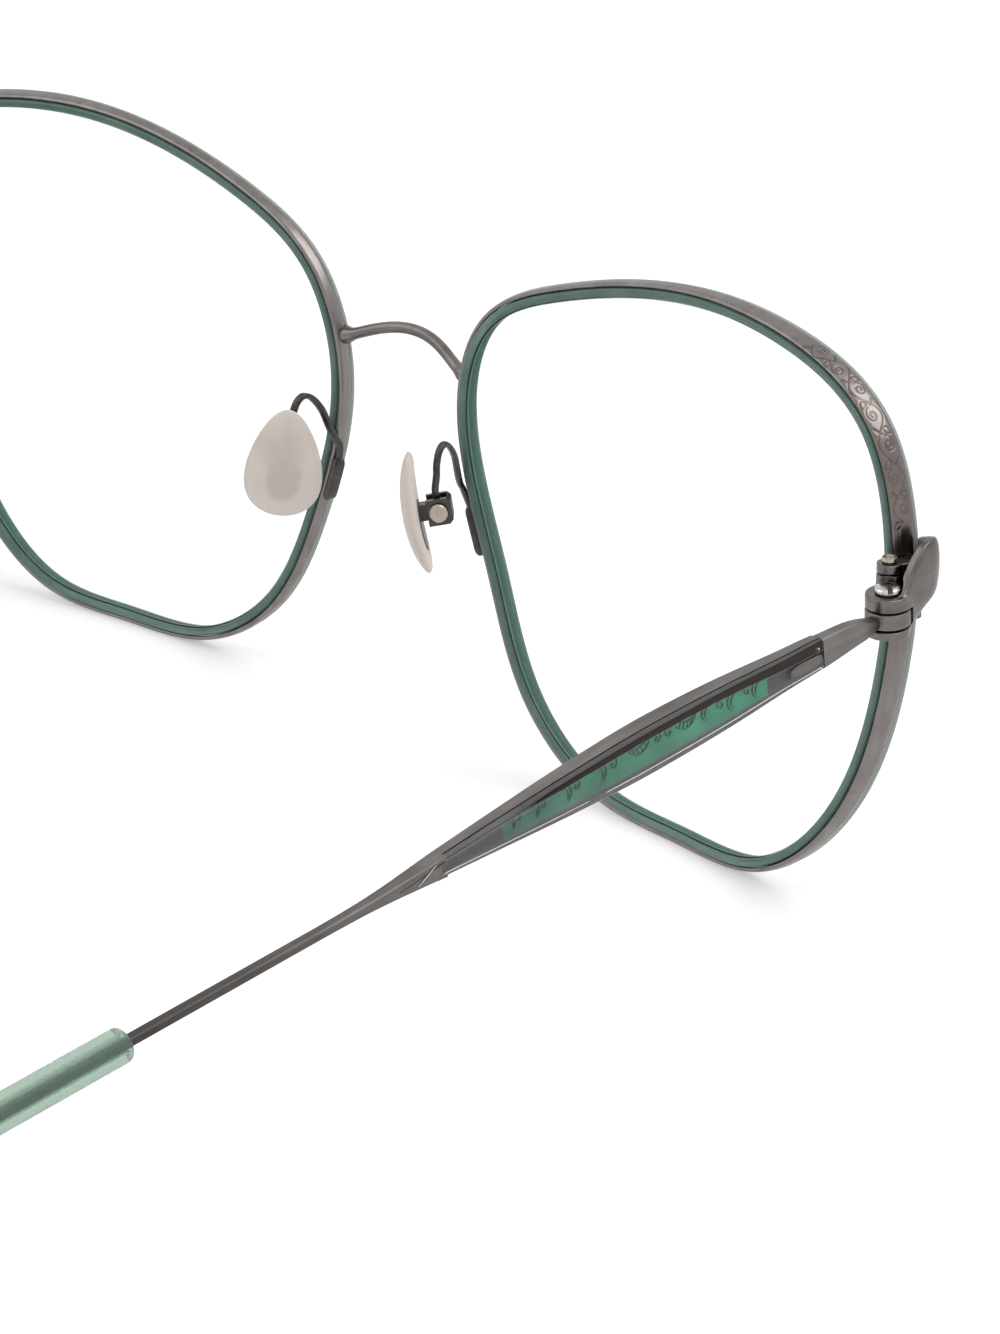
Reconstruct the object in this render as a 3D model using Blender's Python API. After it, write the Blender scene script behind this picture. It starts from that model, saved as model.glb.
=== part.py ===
"""Cat-eye eyeglasses with metal eyewires, translucent inner rims and two folding temples.

Lengths are in millimetres and scaled to metres where a mesh is made. In the frame of the
front, X runs across the face with the wearer's right side at -X, +Y points from the lenses
to the ears and Z runs up the lens plane. The front is then tilted until the eyeglasses
stand on the bottoms of both rims and on both temple tips.
"""
import math

import bmesh
import bpy
import numpy as np
from mathutils import Matrix

MM = 0.001
SIDES = ((-1, "right"), (1, "left"))

# Lens: boxed size, gap between the two lenses, thickness, surface radius, edge bevel
LENS_WIDTH = 55.0
LENS_HEIGHT = 50.0
LENS_GAP = 17.3
LENS_THICKNESS = 1.4
LENS_RADIUS = 114.0
LENS_BEVEL_HEIGHT = 0.38
LENS_BEVEL_HALF = 0.35
FACE_WRAP = math.radians(4.58)

# Lens outline as shares of half the boxed width and height, outward and up, from the temple
LENS_SHAPE = (
    (0.969, -0.021), (1.006, 0.46), (0.917, 0.796), (0.524, 0.982), (-0.036, 0.986),
    (-0.571, 0.84), (-0.887, 0.647), (-0.998, 0.36), (-0.875, -0.3), (-0.69, -0.71),
    (-0.35, -0.958), (0.045, -0.993), (0.39, -0.962), (0.805, -0.56),
)

# Inner rim round the lens and metal band round the inner rim
RIM_SEGMENTS = 60
RIM_BACK_MEAN = 1.10
RIM_BACK_SWING = 0.16
RIM_BACK_OUTWARD = 0.27
RIM_FRONT_MEAN = 1.14
RIM_FRONT_SWING = 0.17
RIM_FRONT_OUTWARD = 0.11
RIM_FRONT_TURN = math.radians(11.0)
RIM_CHAMFER = 0.15
RING_LIP = 0.28
RING_WALL = 0.32
FLANGE_RISE = 0.17
FLANGE_DEPTH_MEAN = 0.48
FLANGE_DEPTH_SWING = 0.20
GROOVE_CLEARANCE = 0.12
GROOVE_HALF = 0.45
BAND_CLEARANCE = 0.10
BAND_THICKNESS = 0.34
BAND_CROWN = 0.05
BAND_EDGE_RISE = 0.12
BAND_EDGE_RUN = 0.24
BAND_BACK_STEP = 0.30
SPLIT_HEIGHT = 9.25
SPLIT_GAP = 0.20

# Rim lock: two columns and a screw behind the temple side of the rim
LOCK_RADIUS = 1.05
LOCK_BACK_CLEARANCE = 0.148
LOCK_OUTWARD = 0.154
LOCK_LUG_THICKNESS = 0.93
LOCK_LUG_FRONT = 0.12
LUG_CLEARANCE = 0.21
LOCK_UPPER_HEIGHT = 0.75
LOCK_SCREW_RADIUS = 0.35
LOCK_SCREW_HEAD_RADIUS = 0.65
LOCK_SCREW_HEAD = 0.30
LOCK_SCREW_REACH = 2.1
SOLDER_CLEARANCE = 0.13

# Hinge: three knuckles on an axis that leans back
HINGE_HEIGHT = 6.17
HINGE_LEAN = math.radians(3.0)
HINGE_OUTWARD = 1.20
HINGE_BACKWARD = 1.35
KNUCKLE_RADIUS = 1.90
TEMPLE_KNUCKLE = 1.35
TOP_KNUCKLE = 1.15
BOTTOM_KNUCKLE = 0.72
KNUCKLE_CLEARANCE = 0.18
RELIEF_CLEARANCE = 0.15
HINGE_SCREW_RADIUS = 0.60
HINGE_SCREW_HEAD_RADIUS = 1.10
HINGE_SCREW_HEAD = 0.30
SCREW_CLEARANCE = 0.12
SCREW_SLOT_WIDTH = 0.28
SCREW_SLOT_DEPTH = 0.14

# End plate that wraps from the front of the rim back to the hinge. Each row has the outer
# face's distance outward and backward from the rim's side, then its bottom and top height.
PLATE_THICKNESS = 0.85
PLATE_BULGE = 0.24
PLATE_ROWS = (
    (0.30, -1.30, 5.4, 11.5),
    (1.17, -1.56, 5.8, 11.7),
    (2.04, -1.30, 6.8, 11.9),
    (2.54, -0.53, 6.8, 12.0),
    (2.67, 0.67, 6.2, 11.8),
    (2.70, 1.67, 5.5, 10.9),
    (2.78, 2.47, 5.0, 9.8),
    (2.96, 3.17, 4.7, 8.9),
    (3.10, 3.82, 4.6, 8.25),
)

# Temple: direction, lengths and sections. Each row has the distance from the hinge axis,
# the height, the thickness and the rise of the middle above the straight line.
TEMPLE_YAW = math.radians(1.5)
TEMPLE_PITCH = math.radians(8.5)
TEMPLE_OUTWARD = 0.50
TEMPLE_TO_BEND = 100.0
TIP_LENGTH = 45.0
BEND_RADIUS = 16.0
BEND_ANGLE = math.radians(32.0)
NECK_START = (0.9, 0.9, 1.1, 0.0)
NECK_SLOT = (2.3, 1.2, 1.1, 0.15)
NECK_END = (3.6, 1.75, 1.15, 0.38)
SHOULDER = (8.5, 2.7, 1.35, 0.55)
BROW = (13.0, 2.95, 1.7, 0.64)
SWELL = (20.0, 3.6, 2.1, 0.75)
BELLY = (28.5, 3.85, 2.35, 0.82)
FLANK = (36.0, 3.45, 2.15, 0.79)
TAIL = (45.0, 2.5, 1.75, 0.74)
TAIL_END = (51.0, 1.75, 1.5, 0.69)
TAPER = (56.4, 1.1, 1.2, 0.62)
WIRE = (64.0, 0.78, 1.0, 0.58)
SECTION_ROUNDING = 0.35
SPINE_HEIGHT = 0.85
POCKET_START = 8.6
POCKET_END = 51.0
POCKET_SLOPE = 0.3
INLAY_CLEARANCE = 0.12

# Tip sleeve
SLEEVE_START = 83.0
SLEEVE_RADIUS = 1.4
SLEEVE_LIP = 0.35
SLEEVE_END_THICKNESS = 2.4
SLEEVE_END_HEIGHT = 4.2
SLEEVE_ROUNDING = 4.5
SLEEVE_CLEARANCE = 0.14
SLEEVE_BLIND = 4.0

# Bridge wire
BRIDGE_RADIUS = 0.54
BRIDGE_FLARE = 0.76
BRIDGE_HEIGHT = 10.2
BRIDGE_FORWARD = 0.55
BRIDGE_RISE = 1.95
BRIDGE_DEPTH = -0.14

# Nose pads: centre, long axis from bottom to top and skin side, for the outward-positive side
PAD_CENTRE = (8.35, 8.5, -0.9)
PAD_LONG_AXIS = (-0.19, 0.07, 0.979)
PAD_SKIN_SIDE = (-0.70, 0.70, -0.17)
PAD_HEIGHT = 11.3
PAD_WIDTH = 7.0
PAD_BOW = 0.5
PAD_THICKNESS = 1.5
PAD_TAPER = 0.26
INSERT_WIDTH = 3.0
INSERT_HEIGHT = 4.8
INSERT_THICKNESS = 0.53
INSERT_DROP = 1.2
INSERT_CLEARANCE = 0.12
POCKET_DEPTH = 0.55
PIVOT_DISTANCE = 2.55
BOSS_WIDTH = 1.3
BOSS_RADIUS = 0.75
BOX_CLEARANCE = 0.15
BOX_WALL = 0.50
BOX_HEIGHT = 2.4
BOX_FRONT = 1.0
BOX_BACK = 0.35
PAD_SCREW_RADIUS = 0.30
PAD_SCREW_HEAD_RADIUS = 0.85
PAD_SCREW_HEAD = 0.35

# Pad arms: soldered base along the back of the nose side of the rim, then a bent flat wire
ARM_BASE_BOTTOM = -5.9
ARM_BASE_TOP = -1.4
ARM_BASE_THICKNESS = 0.6
ARM_BASE_FRONT = -0.45
ARM_BASE_BACK = 0.65
ARM_WIRE_WIDTH = 0.7
ARM_WIRE_THICKNESS = 0.5
ARM_POINTS = (
    (8.12, 1.6, -0.45), (8.16, 2.1, 0.35), (8.38, 2.6, 1.35),
    (8.65, 3.26, 3.12), (8.8, 3.75, 3.95), (8.92, 4.2, 4.5), (9.05, 4.68, 4.9),
    (9.14, 5.12, 5.06), (9.22, 5.55, 4.95), (9.31, 5.95, 4.55), (9.38, 6.2, 4.0),
    (9.45, 6.38, 3.3), (9.58, 6.5, 2.5),
)

METAL = ("gunmetal", (0.20, 0.19, 0.18), 1.0, 0.34, 0.0)
STEEL = ("screw_steel", (0.55, 0.54, 0.50), 1.0, 0.25, 0.0)
SMOKE = ("smoke_plastic", (0.10, 0.17, 0.14), 0.0, 0.18, 0.6)
SMOKE_INLAY = ("smoke_inlay", (0.20, 0.21, 0.22), 0.0, 0.15, 0.6)
GREEN = ("green_panel", (0.09, 0.38, 0.25), 0.0, 0.2, 0.5)
SLEEVE = ("sleeve_plastic", (0.42, 0.55, 0.48), 0.0, 0.2, 0.6)
CLEAR = ("clear_lens", (0.95, 0.97, 0.96), 0.0, 0.05, 0.95)
SILICONE = ("pad_silicone", (0.62, 0.56, 0.50), 0.0, 0.45, 0.3)
INSERT = ("pad_insert_plastic", (0.50, 0.47, 0.42), 0.0, 0.4, 0.0)

LENS_CENTRE = (LENS_WIDTH + LENS_GAP) / 2.0
RING_OUTER = GROOVE_CLEARANCE + RING_WALL
BAND_INNER = RING_OUTER + BAND_CLEARANCE
BAND_OUTER = BAND_INNER + BAND_THICKNESS
UP = np.array((0.0, 0.0, 1.0))


def unit(vector):
    vector = np.asarray(vector, float)
    return vector / np.linalg.norm(vector)


def closed_spline(points, steps):
    """Smooth closed curve through points, with steps samples on each stretch."""
    points = np.asarray(points, float)
    count = len(points)
    chord = np.linalg.norm(np.roll(points, -1, 0) - points, axis=1)
    matrix = np.zeros((count, count))
    right = np.zeros((count, 2))
    for i in range(count):
        before = chord[i - 1]
        after = chord[i]
        following = points[(i + 1) % count]
        matrix[i, i - 1] += before
        matrix[i, i] += 2.0 * (before + after)
        matrix[i, (i + 1) % count] += after
        right[i] = 6.0 * ((following - points[i]) / after - (points[i] - points[i - 1]) / before)
    bend = np.linalg.solve(matrix, right)
    curve = []
    for i in range(count):
        j = (i + 1) % count
        for t in np.linspace(0.0, 1.0, steps, endpoint=False):
            a = 1.0 - t
            sag = (a ** 3 - a) * bend[i] + (t ** 3 - t) * bend[j]
            curve.append(a * points[i] + t * points[j] + chord[i] ** 2 / 6.0 * sag)
    return np.array(curve)


def rim_curve():
    """Dense lens outline in millimetres that starts on the temple side at the rim's split."""
    half = np.array((LENS_WIDTH / 2.0, LENS_HEIGHT / 2.0))
    curve = closed_spline(np.asarray(LENS_SHAPE) * half, 60)
    outer = np.where(curve[:, 0] > 0.0, np.abs(curve[:, 1] - SPLIT_HEIGHT), 1e9)
    return np.roll(curve, -int(np.argmin(outer)), axis=0)


CURVE = rim_curve()
CLOSED_CURVE = np.vstack((CURVE, CURVE[:1]))
CURVE_LENGTH = np.concatenate(
    ((0.0,), np.cumsum(np.linalg.norm(np.diff(CLOSED_CURVE, axis=0), axis=1))))
TANGENTS = np.roll(CURVE, -1, 0) - np.roll(CURVE, 1, 0)
NORMALS = np.stack((TANGENTS[:, 1], -TANGENTS[:, 0]), axis=1)
NORMALS = NORMALS / np.linalg.norm(NORMALS, axis=1)[:, None]
CLOSED_NORMALS = np.vstack((NORMALS, NORMALS[:1]))


def outline(distances):
    """Points and outward normals at distances along the lens outline."""
    where = np.mod(np.asarray(distances, float), CURVE_LENGTH[-1])
    points = np.stack([np.interp(where, CURVE_LENGTH, CLOSED_CURVE[:, k]) for k in (0, 1)], 1)
    normals = np.stack([np.interp(where, CURVE_LENGTH, CLOSED_NORMALS[:, k]) for k in (0, 1)], 1)
    return points, normals / np.linalg.norm(normals, axis=1)[:, None]


def nose_side_distance(height):
    """Distance along the outline to its nose side at a height."""
    inner = np.where(CURVE[:, 0] < 0.0, np.abs(CURVE[:, 1] - height), 1e9)
    return CURVE_LENGTH[int(np.argmin(inner))]


def rim_reach(point):
    """The inner rim's reach in front of and behind the lens surface, and its flange's depth."""
    angle = math.atan2(point[1], point[0])
    front = RIM_FRONT_MEAN + RIM_FRONT_SWING * math.cos(2.0 * (angle - RIM_FRONT_TURN))
    back = RIM_BACK_MEAN + RIM_BACK_SWING * math.cos(2.0 * angle)
    outward = math.cos(angle)
    flange = FLANGE_DEPTH_MEAN - FLANGE_DEPTH_SWING * math.sin(angle)
    return front + RIM_FRONT_OUTWARD * outward, back + RIM_BACK_OUTWARD * outward, flange


def on_lens(point, normal, offset, depth):
    """Position beside the lens outline: offset outward, depth square to the lens surface."""
    u = point[0] + normal[0] * offset
    v = point[1] + normal[1] * offset
    along = np.array((math.cos(FACE_WRAP), math.sin(FACE_WRAP), 0.0))
    behind = np.array((-math.sin(FACE_WRAP), math.cos(FACE_WRAP), 0.0))
    centre = np.array((LENS_CENTRE, 0.0, 0.0))
    square = unit(behind - (u / LENS_RADIUS) * along - (v / LENS_RADIUS) * UP)
    bow = (u * u + v * v) / (2.0 * LENS_RADIUS)
    return centre + u * along + v * UP + bow * behind + depth * square


def polygon_rings(rows, profile):
    """Rings of positions from outline rows and a profile of offsets and depths."""
    points, normals = outline(rows)
    rings = []
    for point, normal in zip(points, normals):
        shape = profile(*rim_reach(point))
        rings.append(np.array([on_lens(point, normal, o, d) for o, d in shape]))
    return rings


def skin(rings, loop=False):
    """Vertices and faces of a body through rings; a ring of one point closes an end."""
    vertices = []
    faces = []
    starts = []
    for ring in rings:
        starts.append(len(vertices))
        vertices.extend(np.asarray(ring, float))
    pairs = list(zip(range(len(rings) - 1), range(1, len(rings))))
    if loop:
        pairs.append((len(rings) - 1, 0))
    for i, j in pairs:
        a = starts[i]
        b = starts[j]
        size = max(len(rings[i]), len(rings[j]))
        for k in range(size):
            m = (k + 1) % size
            if len(rings[i]) == 1:
                faces.append((a, b + m, b + k))
            elif len(rings[j]) == 1:
                faces.append((a + k, a + m, b))
            else:
                faces.append((a + k, a + m, b + m, b + k))
    if not loop:
        if len(rings[0]) > 1:
            faces.append(tuple(reversed(range(len(rings[0])))))
        if len(rings[-1]) > 1:
            faces.append(tuple(starts[-1] + k for k in range(len(rings[-1]))))
    return np.array(vertices), faces


def material(look):
    name, colour, metallic, roughness, transmission = look
    found = bpy.data.materials.get(name)
    if found:
        return found
    made = bpy.data.materials.new(name)
    made.use_nodes = True
    shader = made.node_tree.nodes["Principled BSDF"]
    shader.inputs["Base Color"].default_value = (*colour, 1.0)
    shader.inputs["Metallic"].default_value = metallic
    shader.inputs["Roughness"].default_value = roughness
    shader.inputs["Transmission Weight"].default_value = transmission
    made.diffuse_color = (*colour, 1.0)
    return made


def make(name, body, look, side=1, smooth=40.0):
    """Object from vertices and faces given for the left side, mirrored for the right."""
    vertices, faces = body
    mirrored = np.asarray(vertices) * np.array((side, 1.0, 1.0)) * MM
    mesh = bpy.data.meshes.new(name)
    mesh.from_pydata([tuple(v) for v in mirrored], [], faces)
    work = bmesh.new()
    work.from_mesh(mesh)
    bmesh.ops.recalc_face_normals(work, faces=work.faces)
    work.to_mesh(mesh)
    work.free()
    mesh.shade_smooth()
    mesh.set_sharp_from_angle(angle=math.radians(smooth))
    thing = bpy.data.objects.new(name, mesh)
    thing.data.materials.append(material(look))
    bpy.context.scene.collection.objects.link(thing)
    return thing


def triangulate(thing):
    work = bmesh.new()
    work.from_mesh(thing.data)
    bmesh.ops.triangulate(work, faces=work.faces)
    work.to_mesh(thing.data)
    work.free()


def combine(thing, tools, operation):
    """Apply Boolean steps with the tools to the object's mesh and remove the tools."""
    for tool in tools:
        triangulate(thing)
        step = thing.modifiers.new("step", "BOOLEAN")
        step.operation = operation
        step.solver = "EXACT"
        step.object = tool
        bpy.context.view_layer.update()
        graph = bpy.context.evaluated_depsgraph_get()
        result = bpy.data.meshes.new_from_object(thing.evaluated_get(graph))
        thing.modifiers.clear()
        old = thing.data
        thing.data = result
        bpy.data.meshes.remove(old)
        used = tool.data
        bpy.data.objects.remove(tool)
        bpy.data.meshes.remove(used)
    work = bmesh.new()
    work.from_mesh(thing.data)
    bmesh.ops.remove_doubles(work, verts=work.verts, dist=2e-6)
    bmesh.ops.recalc_face_normals(work, faces=work.faces)
    work.to_mesh(thing.data)
    work.free()
    thing.data.name = thing.name
    thing.data.materials.clear()
    return thing


def cut(thing, tools):
    look = thing.data.materials[0]
    combine(thing, tools, "DIFFERENCE")
    thing.data.materials.append(look)


def join(thing, tools):
    look = thing.data.materials[0]
    combine(thing, tools, "UNION")
    thing.data.materials.append(look)


def turned(profile, base, axis, segments=24):
    """Body turned about axis through base, from rows of radius and height."""
    axis = unit(axis)
    first = unit(np.cross(axis, (0.0, 1.0, 0.2)))
    second = np.cross(axis, first)
    angles = np.arange(segments) * 2.0 * math.pi / segments
    rings = []
    for radius, height in profile:
        middle = np.asarray(base, float) + axis * height
        if radius == 0.0:
            rings.append(np.array([middle]))
            continue
        spread = np.outer(np.cos(angles), first) + np.outer(np.sin(angles), second)
        rings.append(middle + radius * spread)
    return skin(rings)


def cylinder(base, axis, radius, low, high, segments=24):
    return turned(((radius, low), (radius, high)), base, axis, segments)


def block(centre, axes, low, high):
    """Box between low and high along three axes from a centre."""
    corners = ((0, 0), (1, 0), (1, 1), (0, 1))
    rings = []
    for w in (low[2], high[2]):
        ring = []
        for i, j in corners:
            u = (low[0], high[0])[i]
            v = (low[1], high[1])[j]
            ring.append(np.asarray(centre) + u * axes[0] + v * axes[1] + w * axes[2])
        rings.append(np.array(ring))
    return skin(rings)


def screw(base, axis, radius, head_radius, head, reach, segments=20):
    """Screw body whose head rests at base and whose shank runs down the axis by reach."""
    edge = min(0.3 * head, 0.1)
    profile = (
        (radius - 0.1, -reach), (radius, -reach + 0.1), (radius, 0.0), (head_radius, 0.0),
        (head_radius, head - edge), (head_radius - edge, head),
    )
    return turned(profile, base, axis, segments)


def slot_tool(base, axis, across, head_radius, head):
    """Box that cuts a screwdriver slot across a screw's head."""
    axis = unit(axis)
    across = unit(across - axis * np.dot(across, axis))
    beside = np.cross(axis, across)
    reach = head_radius + 0.5
    half = SCREW_SLOT_WIDTH / 2.0
    return block(base, (across, beside, axis), (-reach, -half, head - SCREW_SLOT_DEPTH),
                 (reach, half, head + 0.5))


# Lens

def lens_body():
    half = LENS_THICKNESS / 2.0
    points, normals = outline(np.arange(RIM_SEGMENTS) * CURVE_LENGTH[-1] / RIM_SEGMENTS)
    middle = np.zeros(2)

    def ring(share, offset, depth):
        rows = []
        for point, normal in zip(points, normals):
            edge = point + normal * offset
            rows.append(on_lens(edge * share, normal, 0.0, depth))
        return np.array(rows)

    def pole(depth):
        return np.array([on_lens(middle, middle, 0.0, depth)])

    inset = -LENS_BEVEL_HEIGHT
    rings = [pole(-half), ring(0.36, inset, -half), ring(0.7, inset, -half)]
    rings += [ring(1.0, inset, -half), ring(1.0, inset, -LENS_BEVEL_HALF), ring(1.0, 0.0, 0.0)]
    rings += [ring(1.0, inset, LENS_BEVEL_HALF), ring(1.0, inset, half)]
    rings += [ring(0.7, inset, half), ring(0.36, inset, half), pole(half)]
    return skin(rings)


# Rims

def ring_profile(front, back, depth):
    c = RIM_CHAMFER
    seat = depth - front
    flange = RING_OUTER + FLANGE_RISE
    return (
        (-RING_LIP, -GROOVE_HALF), (GROOVE_CLEARANCE, 0.0), (-RING_LIP, GROOVE_HALF),
        (-RING_LIP, back - c), (c - RING_LIP, back), (RING_OUTER - c, back),
        (RING_OUTER, back - c), (RING_OUTER, seat), (flange, seat), (flange, c - front),
        (flange - c, -front), (c - RING_LIP, -front), (-RING_LIP, c - front),
    )


def band_profile(front, back, depth):
    low = depth + BAND_CLEARANCE - front
    high = back - BAND_BACK_STEP
    rise = BAND_EDGE_RISE
    run = BAND_EDGE_RUN
    return (
        (BAND_INNER, low), (BAND_INNER, high), (BAND_OUTER - rise, high),
        (BAND_OUTER, high - run), (BAND_OUTER + BAND_CROWN, (low + high) / 2.0),
        (BAND_OUTER, low + run), (BAND_OUTER - rise, low),
    )


def inner_rim_body():
    rows = np.arange(RIM_SEGMENTS) * CURVE_LENGTH[-1] / RIM_SEGMENTS
    return skin(polygon_rings(rows, ring_profile), loop=True)


def eyewire_body():
    half = SPLIT_GAP / 2.0
    rows = np.linspace(half, CURVE_LENGTH[-1] - half, RIM_SEGMENTS + 1)
    return skin(polygon_rings(rows, band_profile))


# Places on the temple side of the rim, seen from above as outward and backward distances
SIDE_POINT, SIDE_NORMAL = (row[0] for row in outline((0.0,)))
RIM_SIDE = on_lens(SIDE_POINT, SIDE_NORMAL, BAND_OUTER + BAND_CROWN, 0.0)
RIM_SIDE_BACK = on_lens(SIDE_POINT, SIDE_NORMAL, RING_OUTER, rim_reach(SIDE_POINT)[1])[1]
LOCK_AXIS = np.array((
    RIM_SIDE[0] + LOCK_OUTWARD, RIM_SIDE_BACK + LOCK_BACK_CLEARANCE + LOCK_RADIUS, 0.0))
HINGE = np.array((LOCK_AXIS[0] + HINGE_OUTWARD, LOCK_AXIS[1] + HINGE_BACKWARD, HINGE_HEIGHT))
HINGE_AXIS = np.array((0.0, math.sin(HINGE_LEAN), math.cos(HINGE_LEAN)))
KNUCKLE_HALF = TEMPLE_KNUCKLE / 2.0
UPPER_SEAT = KNUCKLE_HALF + KNUCKLE_CLEARANCE
HINGE_TOP = UPPER_SEAT + TOP_KNUCKLE
HINGE_BOTTOM = -UPPER_SEAT - BOTTOM_KNUCKLE
HINGE_BORE = HINGE_SCREW_RADIUS + SCREW_CLEARANCE
LOCK_BORE = LOCK_SCREW_RADIUS + SCREW_CLEARANCE
LOCK_LOWER_TOP = SPLIT_HEIGHT - SPLIT_GAP / 2.0
LOCK_UPPER_BOTTOM = SPLIT_HEIGHT + SPLIT_GAP / 2.0
LOCK_TOP = LOCK_UPPER_BOTTOM + LOCK_UPPER_HEIGHT


def lock_prism(front, bottom, top):
    """Column with a lug that reaches forward along the outer face of the rim."""
    inner = RIM_SIDE[0] + LUG_CLEARANCE
    outer = inner + LOCK_LUG_THICKNESS
    start = math.asin(min(1.0, (outer - LOCK_AXIS[0]) / LOCK_RADIUS))
    end = math.acos(max(-1.0, min(1.0, (inner - LOCK_AXIS[0]) / LOCK_RADIUS)))
    angles = np.linspace(start - math.pi / 2.0, 2.0 * math.pi - end, 15)
    plan = [(LOCK_AXIS[0] + LOCK_RADIUS * math.cos(a), LOCK_AXIS[1] + LOCK_RADIUS * math.sin(a))
            for a in angles]
    plan += [(inner, front), (outer, front)]
    return skin([np.array([(x, y, z) for x, y in plan]) for z in (bottom, top)])


def closing_block(side, name):
    front = RIM_SIDE[1] - LOCK_LUG_FRONT
    part = make(name, lock_prism(front, LOCK_UPPER_BOTTOM, LOCK_TOP), METAL, side)
    bore = cylinder(LOCK_AXIS, UP, LOCK_BORE, LOCK_UPPER_BOTTOM - 1.0, LOCK_TOP + 1.0, 20)
    cut(part, [make("bore", bore, METAL, side)])
    return part


def plate_body():
    rows = np.array(PLATE_ROWS)
    outer = rows[:, :2] + RIM_SIDE[:2]
    run = np.gradient(outer, axis=0)
    run = run / np.linalg.norm(run, axis=1)[:, None]
    inward = np.stack((-run[:, 1], run[:, 0]), axis=1)
    inner = outer + inward * PLATE_THICKNESS
    edge = 0.15
    rings = []
    for o, i, way, low, high in zip(outer, inner, inward, rows[:, 2], rows[:, 3]):
        soft = o + (i - o) * edge
        ring = [(*i, low), (*soft, low)]
        for share in (-0.92, -0.5, 0.0, 0.5, 0.92):
            bulged = o - way * PLATE_BULGE * (1.0 - share * share)
            ring.append((*bulged, (low + high + share * (high - low)) / 2.0))
        rings.append(np.array([*ring, (*soft, high), (*i, high)]))
    return skin(rings)


def end_piece(side, name):
    bottom = HINGE_HEIGHT + HINGE_BOTTOM
    front = RIM_SIDE[1] + PLATE_ROWS[1][1] + PLATE_THICKNESS - 0.15
    part = make(name, plate_body(), METAL, side)
    column = make("column", lock_prism(front, bottom, LOCK_LOWER_TOP), METAL, side)
    barrel = make("barrel", cylinder(HINGE, HINGE_AXIS, KNUCKLE_RADIUS, HINGE_BOTTOM, HINGE_TOP),
                  METAL, side)
    join(part, [barrel, column])
    relief = KNUCKLE_RADIUS + RELIEF_CLEARANCE
    slot = make("slot", cylinder(HINGE, HINGE_AXIS, relief, -UPPER_SEAT, UPPER_SEAT, 32),
                METAL, side)
    bore = make("bore", cylinder(HINGE, HINGE_AXIS, HINGE_BORE, HINGE_BOTTOM - 1.0,
                                 HINGE_TOP + 2.0, 20), METAL, side)
    low = LOCK_TOP - LOCK_SCREW_REACH - LOCK_UPPER_HEIGHT - SCREW_CLEARANCE
    blind = make("blind", cylinder(LOCK_AXIS, UP, LOCK_BORE, low, LOCK_LOWER_TOP + 1.0, 20),
                 METAL, side)
    seat = make("seat", cylinder(HINGE, HINGE_AXIS, HINGE_SCREW_HEAD_RADIUS + SCREW_CLEARANCE,
                                 HINGE_TOP + SCREW_CLEARANCE / 2.0, HINGE_TOP + 4.0),
                METAL, side)
    cut(part, [slot, bore, blind, seat])
    return part


def lock_screw(side, name):
    base = LOCK_AXIS + UP * (LOCK_TOP + SCREW_CLEARANCE)
    reach = LOCK_SCREW_REACH + LOCK_UPPER_HEIGHT
    part = make(name, screw(base, UP, LOCK_SCREW_RADIUS, LOCK_SCREW_HEAD_RADIUS,
                            LOCK_SCREW_HEAD, reach), STEEL, side)
    tool = slot_tool(base, UP, np.array((1.0, 0.6, 0.0)), LOCK_SCREW_HEAD_RADIUS, LOCK_SCREW_HEAD)
    cut(part, [make("slot", tool, STEEL, side)])
    return part


def hinge_screw(side, name):
    base = HINGE + HINGE_AXIS * (HINGE_TOP + SCREW_CLEARANCE)
    reach = HINGE_TOP - HINGE_BOTTOM
    part = make(name, screw(base, HINGE_AXIS, HINGE_SCREW_RADIUS, HINGE_SCREW_HEAD_RADIUS,
                            HINGE_SCREW_HEAD, reach), STEEL, side)
    tool = slot_tool(base, HINGE_AXIS, np.array((0.8, 0.6, 0.0)), HINGE_SCREW_HEAD_RADIUS,
                     HINGE_SCREW_HEAD)
    cut(part, [make("slot", tool, STEEL, side)])
    return part


# Temple, measured from the hinge point

TEMPLE_ROWS = np.array((
    NECK_START, NECK_SLOT, NECK_END, SHOULDER, BROW, SWELL, BELLY, FLANK, TAIL, TAIL_END,
    TAPER, WIRE, (TEMPLE_TO_BEND + TIP_LENGTH, *WIRE[1:])))
TEMPLE_SLOPES = np.gradient(TEMPLE_ROWS[:, 1:], TEMPLE_ROWS[:, 0], axis=0)
TEMPLE_SLOPES[0] = 0.0
TEMPLE_SLOPES[6, :] = 0.0
TEMPLE_SLOPES[-2:] = 0.0


def temple_size(distance):
    """Height, thickness and rise of the temple at a distance from the hinge axis."""
    rows = TEMPLE_ROWS[:, 0]
    i = int(np.clip(np.searchsorted(rows, distance) - 1, 0, len(rows) - 2))
    step = rows[i + 1] - rows[i]
    t = (distance - rows[i]) / step
    start = (1.0 + 2.0 * t) * (1.0 - t) ** 2 * TEMPLE_ROWS[i, 1:]
    leave = t * (1.0 - t) ** 2 * step * TEMPLE_SLOPES[i]
    end = t * t * (3.0 - 2.0 * t) * TEMPLE_ROWS[i + 1, 1:]
    arrive = t * t * (t - 1.0) * step * TEMPLE_SLOPES[i + 1]
    return start + leave + end + arrive


FORWARD = unit((-math.sin(TEMPLE_YAW) * math.cos(TEMPLE_PITCH),
                math.cos(TEMPLE_YAW) * math.cos(TEMPLE_PITCH), -math.sin(TEMPLE_PITCH)))
OUTWARD = unit(np.cross(FORWARD, UP))
ABOVE = np.cross(OUTWARD, FORWARD)
BEND_START = TEMPLE_TO_BEND - BEND_RADIUS * math.tan(BEND_ANGLE / 2.0)
BEND_END = BEND_START + BEND_RADIUS * BEND_ANGLE


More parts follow.
